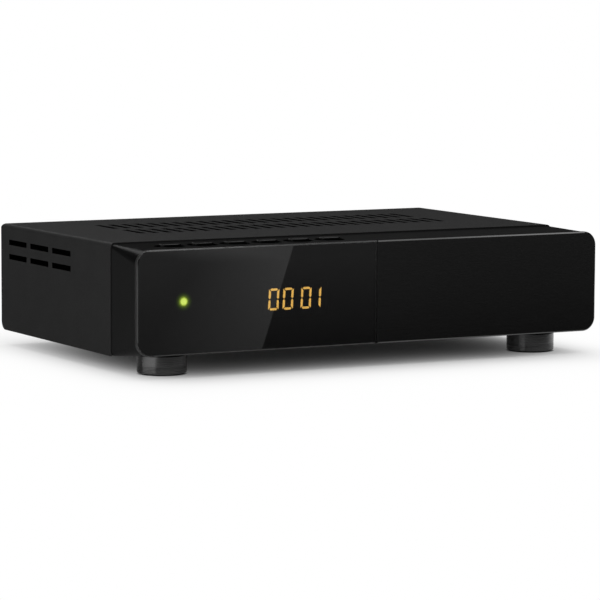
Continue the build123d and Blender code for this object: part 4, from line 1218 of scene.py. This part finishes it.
def turned(outline, base, axis="Z", steps=96, shape=None):
    """Swing a closed outline of (radius, distance along the axis) round an axis."""
    shape = shape or bmesh.new()
    rows = []
    for i in range(steps):
        angle = 2 * math.pi * i / steps
        row = []
        for radius, along in outline:
            a, b = radius * math.cos(angle), radius * math.sin(angle)
            row.append(shape.verts.new(base + Vector((a, b, along) if axis == "Z" else (a, along, b))))
        rows.append(row)
    for row, after in zip(rows, rows[1:] + rows[:1]):
        for i in range(len(outline)):
            j = (i + 1) % len(outline)
            if outline[i][0] or outline[j][0]:
                shape.faces.new((row[i], row[j], after[j], after[i]))
    bmesh.ops.remove_doubles(shape, verts=shape.verts, dist=same_point)
    return shape


# %% Feet and pads
foot_radius = 10.3 * mm
foot_break = 0.3 * mm
foot_low = 0.6 * mm
pocket_radius = 9.5 * mm
pocket_top = 2.0 * mm
well_radius = 3.6 * mm
well_wall = 2.6 * mm
bore_radius = 1.6 * mm
pad_radius = 9.2 * mm
pad_break = 0.25 * mm
groove_first = 1.2 * mm
groove_pitch = 0.55 * mm
groove_count = 5
groove_half = 0.09 * mm
groove_depth = 0.07 * mm

for place in ("front_left", "front_right", "rear_left", "rear_right"):
    low, high, base = box_of("foot_" + place)
    base.z = 0
    top = high.z
    outline = [(bore_radius, top), (foot_radius - foot_break, top), (foot_radius, top - foot_break)]
    for i in reversed(range(groove_count)):
        z = groove_first + i * groove_pitch
        outline += [
            (foot_radius, z + groove_half), (foot_radius - groove_depth, z), (foot_radius, z - groove_half)
        ]
    outline += [
        (foot_radius, foot_low + foot_break), (foot_radius - foot_break, foot_low),
        (pocket_radius, foot_low), (pocket_radius, pocket_top), (well_radius, pocket_top),
        (well_radius, top - well_wall), (bore_radius, top - well_wall),
    ]
    stand_in(mesh_from(turned(outline, base)), "foot_" + place)
    outline = [
        (0, pocket_top), (pad_radius, pocket_top), (pad_radius, pad_break),
        (pad_radius - 0.3 * pad_break, 0.3 * pad_break), (pad_radius - pad_break, 0), (0, 0),
    ]
    stand_in(mesh_from(turned(outline, base)), "pad_" + place)
print("feet:", round(2 * foot_radius / mm, 1), "mm across, grooves each:", groove_count)

# %% [markdown]
# ## Antenna input
#
# The antenna connector has a fine 3/8 inch thread with 32 turns to the inch. A real
# helix needs no boolean: on a grid of rows and columns the radius follows a zigzag that
# climbs by one pitch in one turn, and fades out at both ends. Inside sits a pale disc
# of insulation with the hole for the cable's core.

# %% Antenna socket
thread_pitch = 25.4 / 32 * mm
thread_depth = 0.42 * mm
thread_rows = 8  # rows of points to one pitch
socket_steps = 72
socket_radius = 4.76 * mm
mouth_radius = 2.9 * mm
mouth_depth = 1.0 * mm
core_radius = 0.7 * mm
core_depth = 7.0 * mm
tip_break = 0.5 * mm
disc_edge = mouth_radius - 0.05 * mm
disc_hole = core_radius + 0.1 * mm
disc_thick = 0.2 * mm
low, high, socket_centre = box_of("antenna_socket")
thread_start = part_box("antenna_nut")[1].y - thread_pitch
thread_end = high.y - tip_break
row_count = round((thread_end - thread_start) / thread_pitch * thread_rows)


def thread_radius(y, angle):
    """Radius of the thread here."""
    phase = ((y - thread_start) / thread_pitch - angle / (2 * math.pi)) % 1.0
    cut = 1 - abs(2 * phase - 1)
    fade = min(1.0, (y - thread_start) / thread_pitch, (thread_end - y) / thread_pitch)
    return socket_radius - thread_depth * cut * max(fade, 0.0)


def socket_ring(y, plain_radius=None):
    """Points round the antenna socket's axis, on the thread unless a radius is given."""
    ring = []
    for i in range(socket_steps):
        angle = 2 * math.pi * i / socket_steps
        radius = plain_radius or thread_radius(y, angle)
        across, upwards = radius * math.cos(angle), radius * math.sin(angle)
        ring.append((socket_centre.x + across, y, socket_centre.z + upwards))
    return ring


rings = [socket_ring(low.y, socket_radius)]
for i in range(row_count + 1):
    rings.append(socket_ring(thread_start + (thread_end - thread_start) * i / row_count))
for y, radius in (
    (high.y, socket_radius - tip_break), (high.y, mouth_radius), (high.y - mouth_depth, mouth_radius),
    (high.y - mouth_depth, core_radius), (high.y - core_depth, core_radius),
):
    rings.append(socket_ring(y, radius))
shape = bmesh.new()
skin(shape, rings)
stand_in(mesh_from(shape), "antenna_socket")
disc_base = Vector((socket_centre.x, high.y - mouth_depth, socket_centre.z))
disc_outline = [(disc_hole, 0), (disc_edge, 0), (disc_edge, disc_thick), (disc_hole + disc_thick, disc_thick)]
disc = turned(disc_outline, disc_base, "Y", socket_steps)
take_place(mesh_from(disc), "antenna_insulator", "antenna_socket", "header_plastic")
print("thread turns:", round((thread_end - thread_start) / thread_pitch, 1))

# %% [markdown]
# ## Cover screws
#
# Three pan-head screws with cross recesses hold the cover's rear lip. The head is
# turned, and the recess is cut out of it by a boolean with a tapered cross, as the
# punch does it in the real one.

# %% Cover screws
head_radius = 2.8 * mm
head_height = 1.8 * mm
head_undercut = 0.1 * mm
head_wall = 0.5 * mm  # the straight part of the head's side
head_shoulder = 0.45 * mm  # how far the round over it comes in
shoulder_rise = 0.8 * (head_height - head_wall)
shank_radius = 1.5 * mm
recess_span = 1.55 * mm
recess_web = 0.45 * mm
recess_taper = {-0.2 * mm: 1.08, 1.1 * mm: 0.55}  # depth below the head's top: scale of the cross


def pan_outline(length):
    """Half section of a pan-head screw whose head lies on 0."""
    outline = [(0, -length), (shank_radius, -length), (shank_radius, 0), (head_radius - head_undercut, 0)]
    for cosine, sine in arc(0, 80, 4):
        outline.append((head_radius - head_shoulder * (1 - cosine), head_wall + shoulder_rise * sine))
    outline.append((0.62 * head_radius, 0.97 * head_height))
    return outline + [(0.3 * head_radius, head_height), (0, head_height)]


def recess_cutter(shape, face):
    """A tapered cross that goes into a screw head from its face."""
    corners = cross(recess_span, recess_web, 45)
    skin(shape, [
        [face + Vector((corner.x * scale, -depth, corner.y * scale)) for corner in corners]
        for depth, scale in recess_taper.items()
    ])


low, high, centre = box_of("cover_screws")
seat_y = high.y - head_height
screws, cutters = bmesh.new(), bmesh.new()
for x in (low.x + head_radius, 0, high.x - head_radius):
    turned(pan_outline(seat_y - low.y), Vector((x, seat_y, centre.z)), "Y", 48, screws)
    recess_cutter(cutters, Vector((x, high.y, centre.z)))
blank = bpy.data.objects.new("screw_blank", mesh_from(screws))
punch = bpy.data.objects.new("screw_punch", mesh_from(cutters))
for helper in (blank, punch):
    scene.collection.objects.link(helper)
cut = blank.modifiers.new("recess", "BOOLEAN")
cut.object = punch
cut.operation = "DIFFERENCE"
cut.solver = "EXACT"
punched = bpy.data.meshes.new_from_object(blank.evaluated_get(bpy.context.evaluated_depsgraph_get()))
for helper in (blank, punch):
    bpy.data.objects.remove(helper)
stand_in(punched, "cover_screws")
print("cover screws:", len(punched.polygons), "faces")

# %% [markdown]
# ## Contacts
#
# The picture socket has ten contacts over its tongue and nine under it, the data socket
# four under its tongue. They are plated springs: thin strips with a shallow arch. Each
# is skinned from a few small rectangles, set one behind the other.

# %% Contacts in the sockets
strip_thick = 0.12 * mm
strip_arch = 0.10 * mm
arch_steps = 6
contact_inset = 1.4 * mm  # from the socket's mouth, 0.4 mm behind the tongue's tip
video_pitch = 1.0 * mm
video_tongue_half = 0.65 * mm
data_places = (-3.5 * mm, -1.0 * mm, 1.0 * mm, 3.5 * mm)
data_tongue_up = 1.2 * mm
data_tongue_half = 0.925 * mm


def contact(shape, tip, way, width, length):
    """A sprung strip on a tongue's face, from its tip inwards; way is 1 on top and -1 below."""
    rings = []
    for i in range(arch_steps + 1):
        share = i / arch_steps
        near = tip.z + way * strip_arch * math.sin(math.pi * share)
        far = near + way * strip_thick
        y = tip.y - length * share
        left, right = tip.x - width / 2, tip.x + width / 2
        rings.append([(left, y, near), (right, y, near), (right, y, far), (left, y, far)])
    skin(shape, rings)


low, high, centre = box_of("video_socket")
video_strips = bmesh.new()
for way, count in ((1, 10), (-1, 9)):
    for i in range(count):
        x = centre.x + (i - (count - 1) / 2) * video_pitch
        tip = Vector((x, high.y - contact_inset, centre.z + way * video_tongue_half))
        contact(video_strips, tip, way, width=0.5 * mm, length=5 * mm)
take_place(mesh_from(video_strips), "video_contacts", "video_socket", "plated_thread")
low, high, centre = box_of("data_socket")
data_strips = bmesh.new()
for place in data_places:
    tip = Vector((centre.x + place, high.y - contact_inset, centre.z + data_tongue_up - data_tongue_half))
    contact(data_strips, tip, -1, width=1.1 * mm, length=8 * mm)
take_place(mesh_from(data_strips), "data_contacts", "data_socket", "plated_thread")
print("contacts: 19 in the picture socket,", len(data_places), "in the data socket")
